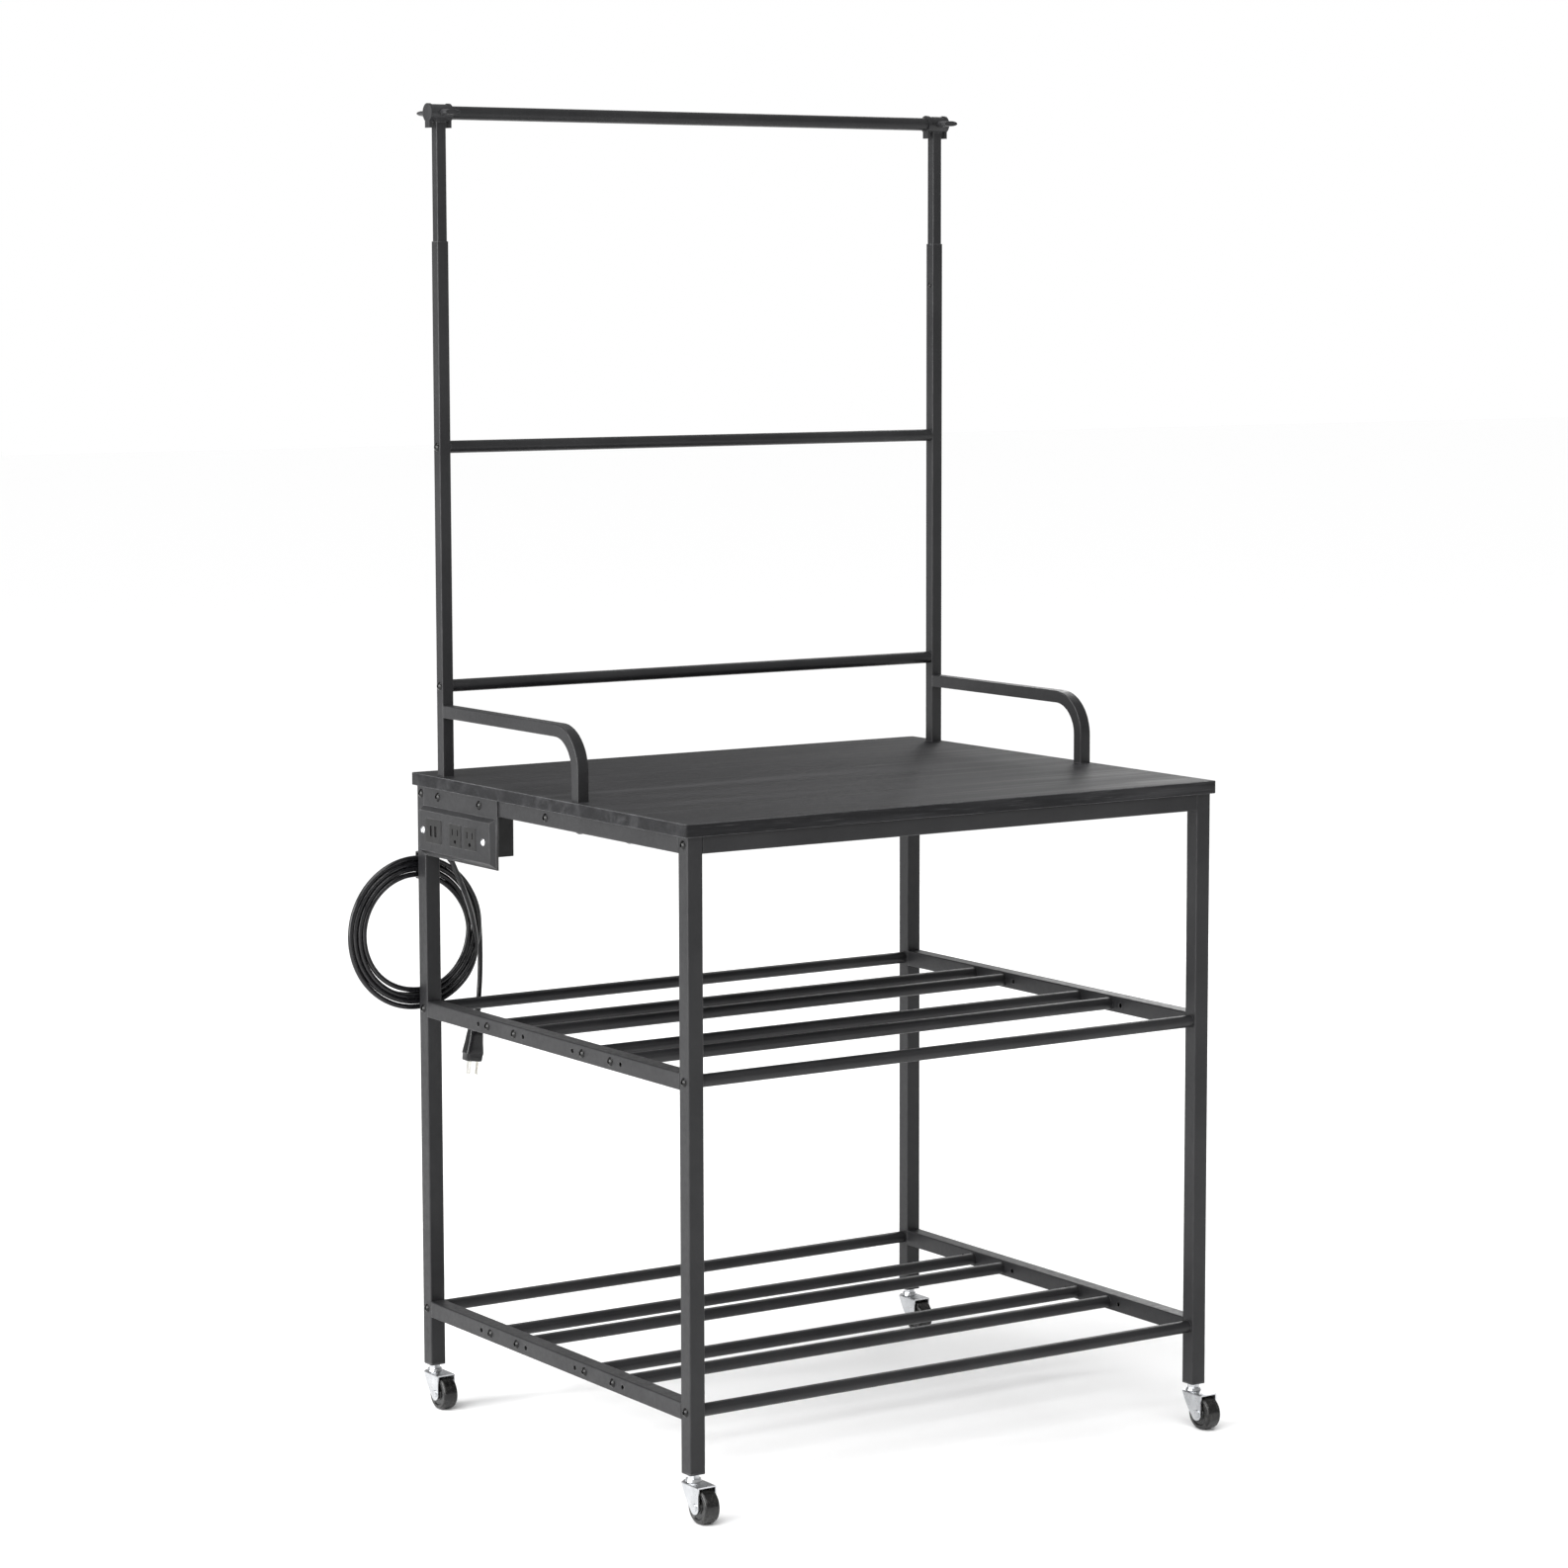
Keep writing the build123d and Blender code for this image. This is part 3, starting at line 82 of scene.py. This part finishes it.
class Shader:
    """A material with a Principled shader and short calls for its texture nodes."""

    def __init__(self, name, base, roughness, metallic=0.0, specular=0.5):
        self.material = bpy.data.materials.new(name)
        self.material.use_nodes = True
        self.nodes = self.material.node_tree.nodes
        self.links = self.material.node_tree.links
        self.bsdf = self.nodes["Principled BSDF"]
        self.bsdf.inputs["Base Color"].default_value = (*base, 1)
        self.bsdf.inputs["Roughness"].default_value = roughness
        self.bsdf.inputs["Metallic"].default_value = metallic
        self.bsdf.inputs["Specular IOR Level"].default_value = specular
        self.coordinates = self.nodes.new("ShaderNodeTexCoord").outputs["Object"]

    def stretched(self, scale):
        """Object coordinates, scaled along each axis."""
        mapping = self.nodes.new("ShaderNodeMapping")
        mapping.inputs["Scale"].default_value = scale
        self.links.new(self.coordinates, mapping.inputs["Vector"])
        return mapping.outputs["Vector"]

    def noise(self, scale, detail=3.0, roughness=0.5, vector=None, distortion=0.0):
        """A noise texture's value over the object's own coordinates."""
        node = self.nodes.new("ShaderNodeTexNoise")
        node.inputs["Scale"].default_value = scale
        node.inputs["Detail"].default_value = detail
        node.inputs["Roughness"].default_value = roughness
        node.inputs["Distortion"].default_value = distortion
        self.links.new(vector or self.coordinates, node.inputs["Vector"])
        return node.outputs["Fac"]

    def spread(self, value, low, high, to_low, to_high):
        """Map a value from one range to another, clamped."""
        node = self.nodes.new("ShaderNodeMapRange")
        node.inputs["From Min"].default_value = low
        node.inputs["From Max"].default_value = high
        node.inputs["To Min"].default_value = to_low
        node.inputs["To Max"].default_value = to_high
        self.links.new(value, node.inputs["Value"])
        return node.outputs["Result"]

    def colours(self, value, stops):
        """A colour ramp over (position, colour) stops."""
        ramp = self.nodes.new("ShaderNodeValToRGB")
        elements = ramp.color_ramp.elements
        for element, (position, colour) in zip(elements, stops[:2]):
            element.position = position
            element.color = (*colour, 1)
        for position, colour in stops[2:]:
            elements.new(position).color = (*colour, 1)
        self.links.new(value, ramp.inputs["Fac"])
        return ramp.outputs["Color"]

    def mix(self, factor, first, second):
        """Mix two colours, each an output or a plain colour, by a value."""
        node = self.nodes.new("ShaderNodeMix")
        node.data_type = "RGBA"
        self.links.new(factor, node.inputs["Factor"])
        for source, socket in ((first, node.inputs[MIX_FIRST]), (second, node.inputs[MIX_SECOND])):
            if isinstance(source, tuple):
                socket.default_value = (*source, 1)
            else:
                self.links.new(source, socket)
        return node.outputs[MIX_RESULT]

    def edges(self, radius):
        """1 along convex and concave edges and 0 on flat faces, from a rounded normal."""
        bevel = self.nodes.new("ShaderNodeBevel")
        bevel.samples = 4
        bevel.inputs["Radius"].default_value = radius
        geometry = self.nodes.new("ShaderNodeNewGeometry")
        dot = self.nodes.new("ShaderNodeVectorMath")
        dot.operation = "DOT_PRODUCT"
        self.links.new(bevel.outputs["Normal"], dot.inputs[0])
        self.links.new(geometry.outputs["Normal"], dot.inputs[1])
        return self.spread(dot.outputs["Value"], FLAT_DOT, EDGE_DOT, 0.0, 1.0)

    def multiply(self, first, second):
        """The product of two values, the second of which may be a plain number."""
        node = self.nodes.new("ShaderNodeMath")
        node.operation = "MULTIPLY"
        self.links.new(first, node.inputs[0])
        if isinstance(second, float):
            node.inputs[1].default_value = second
        else:
            self.links.new(second, node.inputs[1])
        return node.outputs["Value"]

    def colour(self, value):
        """Drive the base colour."""
        self.links.new(value, self.bsdf.inputs["Base Color"])

    def roughness(self, value):
        """Drive the roughness."""
        self.links.new(value, self.bsdf.inputs["Roughness"])

    def bump(self, *layers):
        """Stack bump layers, each a (value, height in metres) pair."""
        normal = None
        for value, height in layers:
            node = self.nodes.new("ShaderNodeBump")
            node.inputs["Distance"].default_value = height
            self.links.new(value, node.inputs["Height"])
            if normal:
                self.links.new(normal, node.inputs["Normal"])
            normal = node.outputs["Normal"]
        self.links.new(normal, self.bsdf.inputs["Normal"])


# ---------------------------------------------------------------------------------------------
# Materials
# ---------------------------------------------------------------------------------------------

# Lighter colour along the powder coat's edges: partly rubbed wear, partly a painted highlight
PAINT_EDGE_WEAR_AND_HIGHLIGHT = (0.17, 0.17, 0.172)
WORN_LAMINATE = (0.20, 0.20, 0.205)
RUBBED_PLASTIC = (0.12, 0.12, 0.122)


def powder_coat():
    """Matte black powder coat: fine orange peel, faint mottling, and edges painted lighter, partly as rubbed
    wear and partly as a painted highlight.
    """
    paint = Shader("powder_coat", (0.016, 0.016, 0.017), 0.42, specular=0.28)
    mottle = paint.noise(9.0, 4.0, 0.6)
    body = paint.colours(mottle, [(0.35, (0.012, 0.012, 0.013)), (0.68, (0.019, 0.019, 0.020))])
    edge, edge_breakup = paint.edges(0.0012), paint.spread(paint.noise(60.0), 0.40, 0.64, 0.2, 0.9)
    # Edges painted lighter and broken up by noise: partly rubbed wear, partly a painted highlight
    lightened_edges = paint.multiply(edge, edge_breakup)
    paint.colour(paint.mix(lightened_edges, body, PAINT_EDGE_WEAR_AND_HIGHLIGHT))
    paint.roughness(paint.spread(paint.noise(140.0, 2.0), 0.3, 0.7, 0.34, 0.46))
    paint.bump((paint.noise(1500.0, 2.0), 0.00006), (paint.noise(420.0, 1.0), 0.00005))
    return paint.material


def laminate():
    """Charcoal laminate with long grain streaks along X, pores, and a lighter worn arris."""
    board = Shader("charcoal_laminate", (0.02, 0.02, 0.021), 0.5, specular=0.08)
    streaks = board.noise(1.0, 9.0, 0.62, board.stretched((2.2, 46.0, 46.0)), 0.6)
    figure = board.noise(1.0, 4.0, 0.5, board.stretched((0.9, 7.0, 7.0)), 1.4)
    pores = board.noise(1.0, 3.0, 0.6, board.stretched((26.0, 900.0, 900.0)))
    grain_stops = [
        (0.30, (0.006, 0.006, 0.006)),
        (0.72, (0.050, 0.050, 0.052)),
        (0.50, (0.016, 0.016, 0.017)),
    ]
    grain = board.colours(streaks, grain_stops)
    shaded = board.mix(board.spread(figure, 0.35, 0.65, 0.0, 0.55), grain, (0.010, 0.010, 0.011))
    flecked = board.mix(board.spread(pores, 0.56, 0.70, 0.0, 0.5), shaded, (0.065, 0.065, 0.067))
    worn = board.multiply(board.edges(0.0010), board.spread(board.noise(35.0), 0.3, 0.6, 0.35, 0.9))
    board.colour(board.mix(worn, flecked, WORN_LAMINATE))
    board.roughness(board.spread(streaks, 0.3, 0.7, 0.44, 0.66))
    board.bump((streaks, 0.00012), (pores, 0.00008))
    return board.material


def zinc():
    """Bright zinc plate with soft rolling marks and a slight haze."""
    plate = Shader("bright_zinc", (0.54, 0.55, 0.56), 0.3, metallic=1.0)
    haze = plate.noise(70.0, 5.0, 0.6)
    plate.colour(plate.colours(haze, [(0.3, (0.46, 0.47, 0.485)), (0.7, (0.60, 0.61, 0.625))]))
    plate.roughness(plate.spread(plate.noise(160.0, 3.0), 0.3, 0.7, 0.24, 0.38))
    plate.bump((plate.noise(900.0, 2.0), 0.00004))
    return plate.material


def moulded(name, base, low_roughness, high_roughness, grain_height=0.00006):
    """Moulded black plastic with a fine spark-eroded grain and paler rubbed edges."""
    plastic = Shader(name, base, high_roughness, specular=0.3)
    lighter = tuple(3.2 * channel for channel in base)
    drift = plastic.noise(45.0, 3.0)
    body = plastic.mix(plastic.spread(drift, 0.35, 0.7, 0.0, 0.35), base, lighter)
    edge, edge_breakup = plastic.edges(0.0006), plastic.spread(plastic.noise(90.0), 0.4, 0.7, 0.1, 0.6)
    lightened_edges = plastic.multiply(edge, edge_breakup)
    plastic.colour(plastic.mix(lightened_edges, body, RUBBED_PLASTIC))
    plastic.roughness(plastic.spread(plastic.noise(220.0), 0.3, 0.7, low_roughness, high_roughness))
    plastic.bump((plastic.noise(1800.0, 2.0), grain_height))
    return plastic.material


def nylon_wheel():
    """Black nylon with patches of dust, duller where the dust lies."""
    nylon = Shader("wheel_nylon", (0.006, 0.006, 0.006), 0.25, specular=0.4)
    dust = nylon.noise(160.0, 6.0, 0.7)
    nylon.colour(nylon.colours(dust, [(0.45, (0.005, 0.005, 0.005)), (0.85, (0.032, 0.031, 0.029))]))
    nylon.roughness(nylon.spread(dust, 0.4, 0.7, 0.18, 0.38))
    nylon.bump((nylon.noise(1400.0, 2.0), 0.00005))
    return nylon.material


def vinyl():
    """Glossy black cord jacket with slight waviness."""
    jacket = Shader("cord_vinyl", (0.005, 0.005, 0.006), 0.16, specular=0.4)
    wave = jacket.noise(120.0, 3.0)
    jacket.colour(jacket.colours(wave, [(0.35, (0.004, 0.004, 0.005)), (0.7, (0.010, 0.010, 0.011))]))
    jacket.roughness(jacket.spread(jacket.noise(260.0), 0.3, 0.7, 0.12, 0.22))
    jacket.bump((wave, 0.00003), (jacket.noise(1200.0), 0.00001))
    return jacket.material


def screw_metal(name, base, roughness, metallic, specular=0.5):
    """Small fastener finish, with turning marks fine enough to break up its highlight."""
    metal = Shader(name, base, roughness, metallic=metallic, specular=specular)
    marks = metal.noise(700.0, 4.0, 0.6)
    darker = tuple(0.6 * channel for channel in base)
    metal.colour(metal.mix(metal.spread(marks, 0.4, 0.7, 0.0, 0.7), base, darker))
    metal.roughness(metal.spread(marks, 0.3, 0.7, 0.7 * roughness, 1.4 * roughness))
    metal.bump((marks, 0.00004))
    return metal.material


finishes = {
    "frame_steel": powder_coat(),
    "board": laminate(),
    "zinc_plate": zinc(),
    "black_plastic": moulded("bracket_plastic", (0.016, 0.016, 0.017), 0.30, 0.48),
    "wheel_black": nylon_wheel(),
    "cord_black": vinyl(),
    "black_screws": screw_metal("black_oxide", (0.003, 0.003, 0.003), 0.14, 0.0, 0.3),
    "silver_screws": screw_metal("silver_screw", (0.85, 0.86, 0.88), 0.22, 1.0),
}
outlet_plastic = moulded("outlet_plastic", (0.005, 0.005, 0.005), 0.30, 0.46, 0.00003)
pin_metal = screw_metal("pin_nickel", (0.78, 0.77, 0.73), 0.20, 1.0)

slots = {row["node"]: row["material_slot"] for row in frame["record"]["subparts"]}
special = dict.fromkeys(("outlet_sockets", "usb_module", "power_strip_body"), outlet_plastic)
for node, thing in frame["nodes"].items():
    finish = special.get(node, finishes[slots[node]])
    for material_slot in thing.material_slots:
        material_slot.material = finish

# ---------------------------------------------------------------------------------------------
# Mesh helpers
# ---------------------------------------------------------------------------------------------


def mesh_piece(name, mesh, finish, sharp_degrees=35):
    """Link a mesh as one smooth-shaded piece with sharp creases."""
    mesh.shade_smooth()
    mesh.set_sharp_from_angle(angle=math.radians(sharp_degrees))
    mesh.materials.append(finish)
    piece = bpy.data.objects.new(name, mesh)
    bpy.context.collection.objects.link(piece)
    return piece


def rounded_ring(half_width, half_depth, squareness, count=40):
    """A closed superellipse: squareness 2 is an ellipse and higher is squarer."""
    ring = []
    for step in range(count):
        angle = 2 * math.pi * step / count
        across, up = math.cos(angle), math.sin(angle)
        x = half_width * math.copysign(abs(across) ** (2 / squareness), across)
        y = half_depth * math.copysign(abs(up) ** (2 / squareness), up)
        ring.append((x, y))
    return ring


def loft_mesh(name, place, sections):
    """A closed skin along a place's Z through (distance, half width, half depth, squareness) rows."""
    built = bmesh.new()
    rings = []
    for distance, half_width, half_depth, squareness in sections:
        points = rounded_ring(half_width, half_depth, squareness)
        rings.append([built.verts.new(place @ Vector((x, y, distance))) for x, y in points])
    for below, above in zip(rings, rings[1:]):
        for index in range(len(below)):
            after = (index + 1) % len(below)
            built.faces.new((below[index], below[after], above[after], above[index]))
    built.faces.new(reversed(rings[0]))
    built.faces.new(rings[-1])
    bmesh.ops.recalc_face_normals(built, faces=built.faces)
    mesh = bpy.data.meshes.new(name)
    built.to_mesh(mesh)
    built.free()
    return mesh


def place_along(origin, z_axis, x_axis):
    """A frame at origin with Z along z_axis and X near x_axis."""
    z_axis = Vector(z_axis).normalized()
    x_axis = (Vector(x_axis) - Vector(x_axis).dot(z_axis) * z_axis).normalized()
    y_axis = z_axis.cross(x_axis)
    return Matrix.Translation(origin) @ Matrix((x_axis, y_axis, z_axis)).transposed().to_4x4()


# One rib's (share of the pitch, share of the ring's depth)
RIB_PROFILE = ((0.0, 0.0), (0.5, 0.0), (0.6, 1.0), (0.9, 1.0))


def bend_ribs(start, end, radius_start, radius_end, count, depth):
    """Rows for a tapered boot with sunken rings between its ribs, as on a strain relief."""
    sections = []
    pitch = (end - start) / count
    for rib in range(count):
        for share, sunk in RIB_PROFILE:
            distance = start + pitch * (rib + share)
            along = (distance - start) / (end - start)
            radius = radius_start + (radius_end - radius_start) * along - depth * sunk
            sections.append((distance, radius, radius, 2))
    sections.append((end, radius_end, radius_end, 2))
    return sections


# ---------------------------------------------------------------------------------------------
# Power cord: lead, coil and tail on one spline
# ---------------------------------------------------------------------------------------------

CORD_DIAMETER = 0.0065
CORD_RESOLUTION = 6
COIL_CENTRE = Vector((-0.368, 0.322, 0.591))
COIL_FRONT_Y = 0.3186
COIL_BACK_Y = 0.3254
TURN_RADII = (0.0920, 0.0856, 0.0792, 0.0727)    # front layer, from the outside inwards
FRONT_TURNS = len(TURN_RADII)
TURNS = FRONT_TURNS + 1                           # the last one runs outwards behind the others
LAST_RADIUS = 0.0922
SETTLE_FROM = 0.7                                 # share of a turn after which it steps inwards
BACK_STEP_RATE = 3.5                              # how fast the last turn moves to the back layer
WOBBLE = 0.0003
WOBBLE_RATE = 2.3
SAGS = ((0.0028, 45, 6), (0.0020, 190, 8))        # inner turn's (depth, angle in degrees, sharpness)
POINTS_PER_TURN = 20
SPLINE_SHRINK = math.cos(math.pi / POINTS_PER_TURN)
LEAD = [
    (-0.3440, 0.2720, 0.6830),
    (-0.3339, 0.2720, 0.6613),
    (-0.3195, 0.2805, 0.6375),
    (-0.3035, 0.2960, 0.6130),
    (-0.2910, 0.3100, 0.5890),
    (-0.2840, 0.3185, 0.5630),
]
TAIL = [
    (-0.2760, 0.3250, 0.5840),
    (-0.2756, 0.3246, 0.5600),
    (-0.2764, 0.3238, 0.5360),
    (-0.2783, 0.3228, 0.5120),
    (-0.2813, 0.3220, 0.4880),
]


def clock_angle(point):
    """The angle of a point round the coil, clockwise from the top as seen from the front."""
    return math.atan2(point[0] - COIL_CENTRE.x, point[2] - COIL_CENTRE.z)


def coil_points():
    """Four turns inwards in the front layer, then one outwards behind them to the tail."""
    step = 2 * math.pi / POINTS_PER_TURN
    begin = clock_angle(LEAD[-1]) + step
    end = clock_angle(TAIL[0]) - step + 2 * math.pi * TURNS
    count = round((end - begin) / step)
    innermost = FRONT_TURNS - 1
    points = []
    for index in range(count + 1):
        angle = begin + (end - begin) * index / count
        done = TURNS * index / count
        layer = min(int(done), innermost)
        in_front = done < FRONT_TURNS
        radius = TURN_RADII[layer]
        y = COIL_FRONT_Y
        if in_front and layer < innermost:
            settle = max(0.0, (done - layer - SETTLE_FROM) / (1 - SETTLE_FROM))
            radius += (TURN_RADII[layer + 1] - radius) * settle
        elif not in_front:
            share = done - FRONT_TURNS
            radius += (LAST_RADIUS - radius) * share
            y += (COIL_BACK_Y - COIL_FRONT_Y) * min(1.0, BACK_STEP_RATE * share)
        radius += WOBBLE * math.sin(WOBBLE_RATE * angle + layer)
        if in_front and layer == innermost:
            for depth, degrees, sharpness in SAGS:
                radius -= depth * max(0.0, math.cos(angle - math.radians(degrees))) ** sharpness
        radius /= SPLINE_SHRINK
        x = COIL_CENTRE.x + radius * math.sin(angle)
        points.append((x, y, COIL_CENTRE.z + radius * math.cos(angle)))
    return points


def spline_curve(name, points, diameter):
    """One smooth open spline of cord with a round section."""
    curve = bpy.data.curves.new(name, "CURVE")
    curve.dimensions = "3D"
    curve.bevel_depth = diameter / 2
    curve.bevel_resolution = CORD_RESOLUTION
    curve.resolution_u = CORD_RESOLUTION
    curve.use_fill_caps = True
    spline = curve.splines.new("NURBS")
    spline.points.add(len(points) - 1)
    for point, place in zip(spline.points, points):
        point.co = (*place, 1)
    spline.order_u = 3
    spline.use_endpoint_u = True
    curve.materials.append(finishes["cord_black"])
    piece = bpy.data.objects.new(name, curve)
    bpy.context.collection.objects.link(piece)
    return piece


cord = spline_curve("power_lead", LEAD + coil_points() + TAIL, CORD_DIAMETER)
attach(cord, stand)
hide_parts("power_cord", "cord_coil")

# Boot at the power strip
GLAND_LENGTH = 0.024
gland_axis = Vector(LEAD[1]) - Vector(LEAD[0])
gland_place = place_along(Vector(LEAD[0]) - GLAND_LENGTH * gland_axis.normalized(), gland_axis, (0, 1, 0))
boot_sections = [
    (-0.0040, 0.0068, 0.0068, 2),
    (0.0022, 0.0068, 0.0068, 2),
    (0.0030, 0.0060, 0.0060, 2),
]
boot_sections += bend_ribs(0.0036, GLAND_LENGTH, 0.0055, 0.0042, 6, 0.0007)
boot_mesh = loft_mesh("cord_boot", gland_place, boot_sections)
boot = mesh_piece("cord_boot", boot_mesh, finishes["cord_black"])
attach(boot, stand)
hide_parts("cord_gland")

# Moulded plug with its own boot, a waisted grip, and three pins
PLUG_TILT = math.radians(8)
PLUG_LENGTH = 0.042
PLUG_ROUNDING = 0.0004
RELIEF = 0.024
plug_axis = Vector((-math.sin(PLUG_TILT), 0, -math.cos(PLUG_TILT)))
plug_place = place_along(TAIL[-1], plug_axis, (-1, 0, 0))
plug_sections = bend_ribs(0.0, RELIEF - 0.001, 0.0043, 0.0062, 6, 0.0008)
plug_sections += [
    (RELIEF + 0.0000, 0.0078, 0.0064, 2.6),
    (RELIEF + 0.0030, 0.0090, 0.0073, 3.4),
    (RELIEF + 0.0100, 0.0097, 0.0080, 4.0),
    (RELIEF + 0.0180, 0.0104, 0.0084, 4.2),
    (RELIEF + 0.0260, 0.0116, 0.0090, 4.4),
    (RELIEF + 0.0315, 0.01225, 0.0095, 4.6),
    (RELIEF + 0.0330, 0.01225, 0.0095, 4.6),
    (RELIEF + 0.0338, 0.0117, 0.0090, 4.6),
    (RELIEF + 0.0412, 0.0113, 0.0086, 4.6),
    (RELIEF + PLUG_LENGTH, 0.0106, 0.0079, 4.6),
]
plug_mesh = loft_mesh("plug_body", plug_place, plug_sections)
plug_body = mesh_piece("plug_body", plug_mesh, finishes["cord_black"])
plug_body.modifiers.new("rounding", "BEVEL").width = PLUG_ROUNDING
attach(plug_body, stand)
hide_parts("plug")

PIN_LENGTH = 0.0175
PIN_OVERLAP = 0.001
BLADE_SPACING = 0.0127
for name, x, y, half_width, half_depth, squareness in (
    ("plug_blade_a", -BLADE_SPACING / 2, -0.003, 0.00075, 0.00315, 9),
    ("plug_blade_b", BLADE_SPACING / 2, -0.003, 0.00075, 0.00315, 9),
    ("plug_earth_pin", 0.0, 0.005, 0.0024, 0.0024, 2),
):
    start = RELIEF + PLUG_LENGTH - PIN_OVERLAP
    end = RELIEF + PLUG_LENGTH + PIN_LENGTH
    pin_place = plug_place @ Matrix.Translation((x, y, 0))
    sections = [
        (start, half_width, half_depth, squareness),
        (end - 0.0020, half_width, half_depth, squareness),
        (end - 0.0006, 0.85 * half_width, 0.90 * half_depth, squareness),
        (end, 0.5 * half_width, 0.75 * half_depth, squareness),
    ]
    pin = mesh_piece(name, loft_mesh(name, pin_place, sections), pin_metal)
    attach(pin, stand)

# ---------------------------------------------------------------------------------------------
# Floor, light and colour
# ---------------------------------------------------------------------------------------------

FLOOR_HALF = 30.0
ROOM_LIGHT = 0.42        # white light from all round
BACKDROP_LIGHT = 1.0     # what the camera sees behind the stand
SUN_STRENGTH = 2.3
SUN_SPREAD = math.radians(50)
SUN_DIRECTION = Vector((0.35, 0.10, -0.93))

# Area lights: name, place, target, width, height, watts
SOFTBOXES = (
    ("key_left", (-4.6, -0.4, 1.6), (0, 0, 0.8), 3.6, 3.0, 240),
    ("rim_right", (3.6, 2.8, 2.6), (0, 0, 0.9), 2.0, 2.5, 60),
    ("rod_strip", (-1.2, -3.6, 3.6), (0, 0, 0.7), 5.0, 0.35, 70),
    ("cord_strip", (-4.2, 1.2, 1.8), (-0.37, 0.32, 0.6), 0.4, 3.0, 60),
)

floor_mesh = bpy.data.meshes.new("floor")
signs = ((-1, -1), (1, -1), (1, 1), (-1, 1))
corners = [(x_sign * FLOOR_HALF, y_sign * FLOOR_HALF, 0) for x_sign, y_sign in signs]
floor_mesh.from_pydata(corners, [], [(0, 1, 2, 3)])
floor = bpy.data.objects.new("floor", floor_mesh)
bpy.context.collection.objects.link(floor)
floor_paint = Shader("floor_paint", (0.92, 0.92, 0.92), 0.85, specular=0.1)
floor_mesh.materials.append(floor_paint.material)

world = bpy.data.worlds.new("studio")
bpy.context.scene.world = world
world.use_nodes = True
room = world.node_tree.nodes["Background"]
room.inputs["Color"].default_value = (1, 1, 1, 1)
room.inputs["Strength"].default_value = ROOM_LIGHT
backdrop = world.node_tree.nodes.new("ShaderNodeBackground")
backdrop.inputs["Color"].default_value = (1, 1, 1, 1)
backdrop.inputs["Strength"].default_value = BACKDROP_LIGHT
seen_directly = world.node_tree.nodes.new("ShaderNodeLightPath")
chooser = world.node_tree.nodes.new("ShaderNodeMixShader")
world_output = world.node_tree.nodes["World Output"]
for source, target in (
    (seen_directly.outputs["Is Camera Ray"], chooser.inputs["Fac"]),
    (room.outputs["Background"], chooser.inputs[1]),
    (backdrop.outputs["Background"], chooser.inputs[2]),
    (chooser.outputs["Shader"], world_output.inputs["Surface"]),
):
    world.node_tree.links.new(source, target)


def softbox(name, place, target, width, height, watts):
    """A rectangular area light aimed at a point."""
    data = bpy.data.lights.new(name, "AREA")
    data.shape = "RECTANGLE"
    data.size = width
    data.size_y = height
    data.energy = watts
    light = bpy.data.objects.new(name, data)
    light.location = place
    light.rotation_euler = (Vector(target) - Vector(place)).to_track_quat("-Z", "Y").to_euler()
    bpy.context.collection.objects.link(light)


sun_data = bpy.data.lights.new("overhead", "SUN")
sun_data.energy = SUN_STRENGTH
sun_data.angle = SUN_SPREAD
sun = bpy.data.objects.new("overhead", sun_data)
sun.rotation_euler = SUN_DIRECTION.to_track_quat("-Z", "Y").to_euler()
bpy.context.collection.objects.link(sun)

for softbox_row in SOFTBOXES:
    softbox(*softbox_row)

bpy.context.scene.view_settings.view_transform = "Standard"
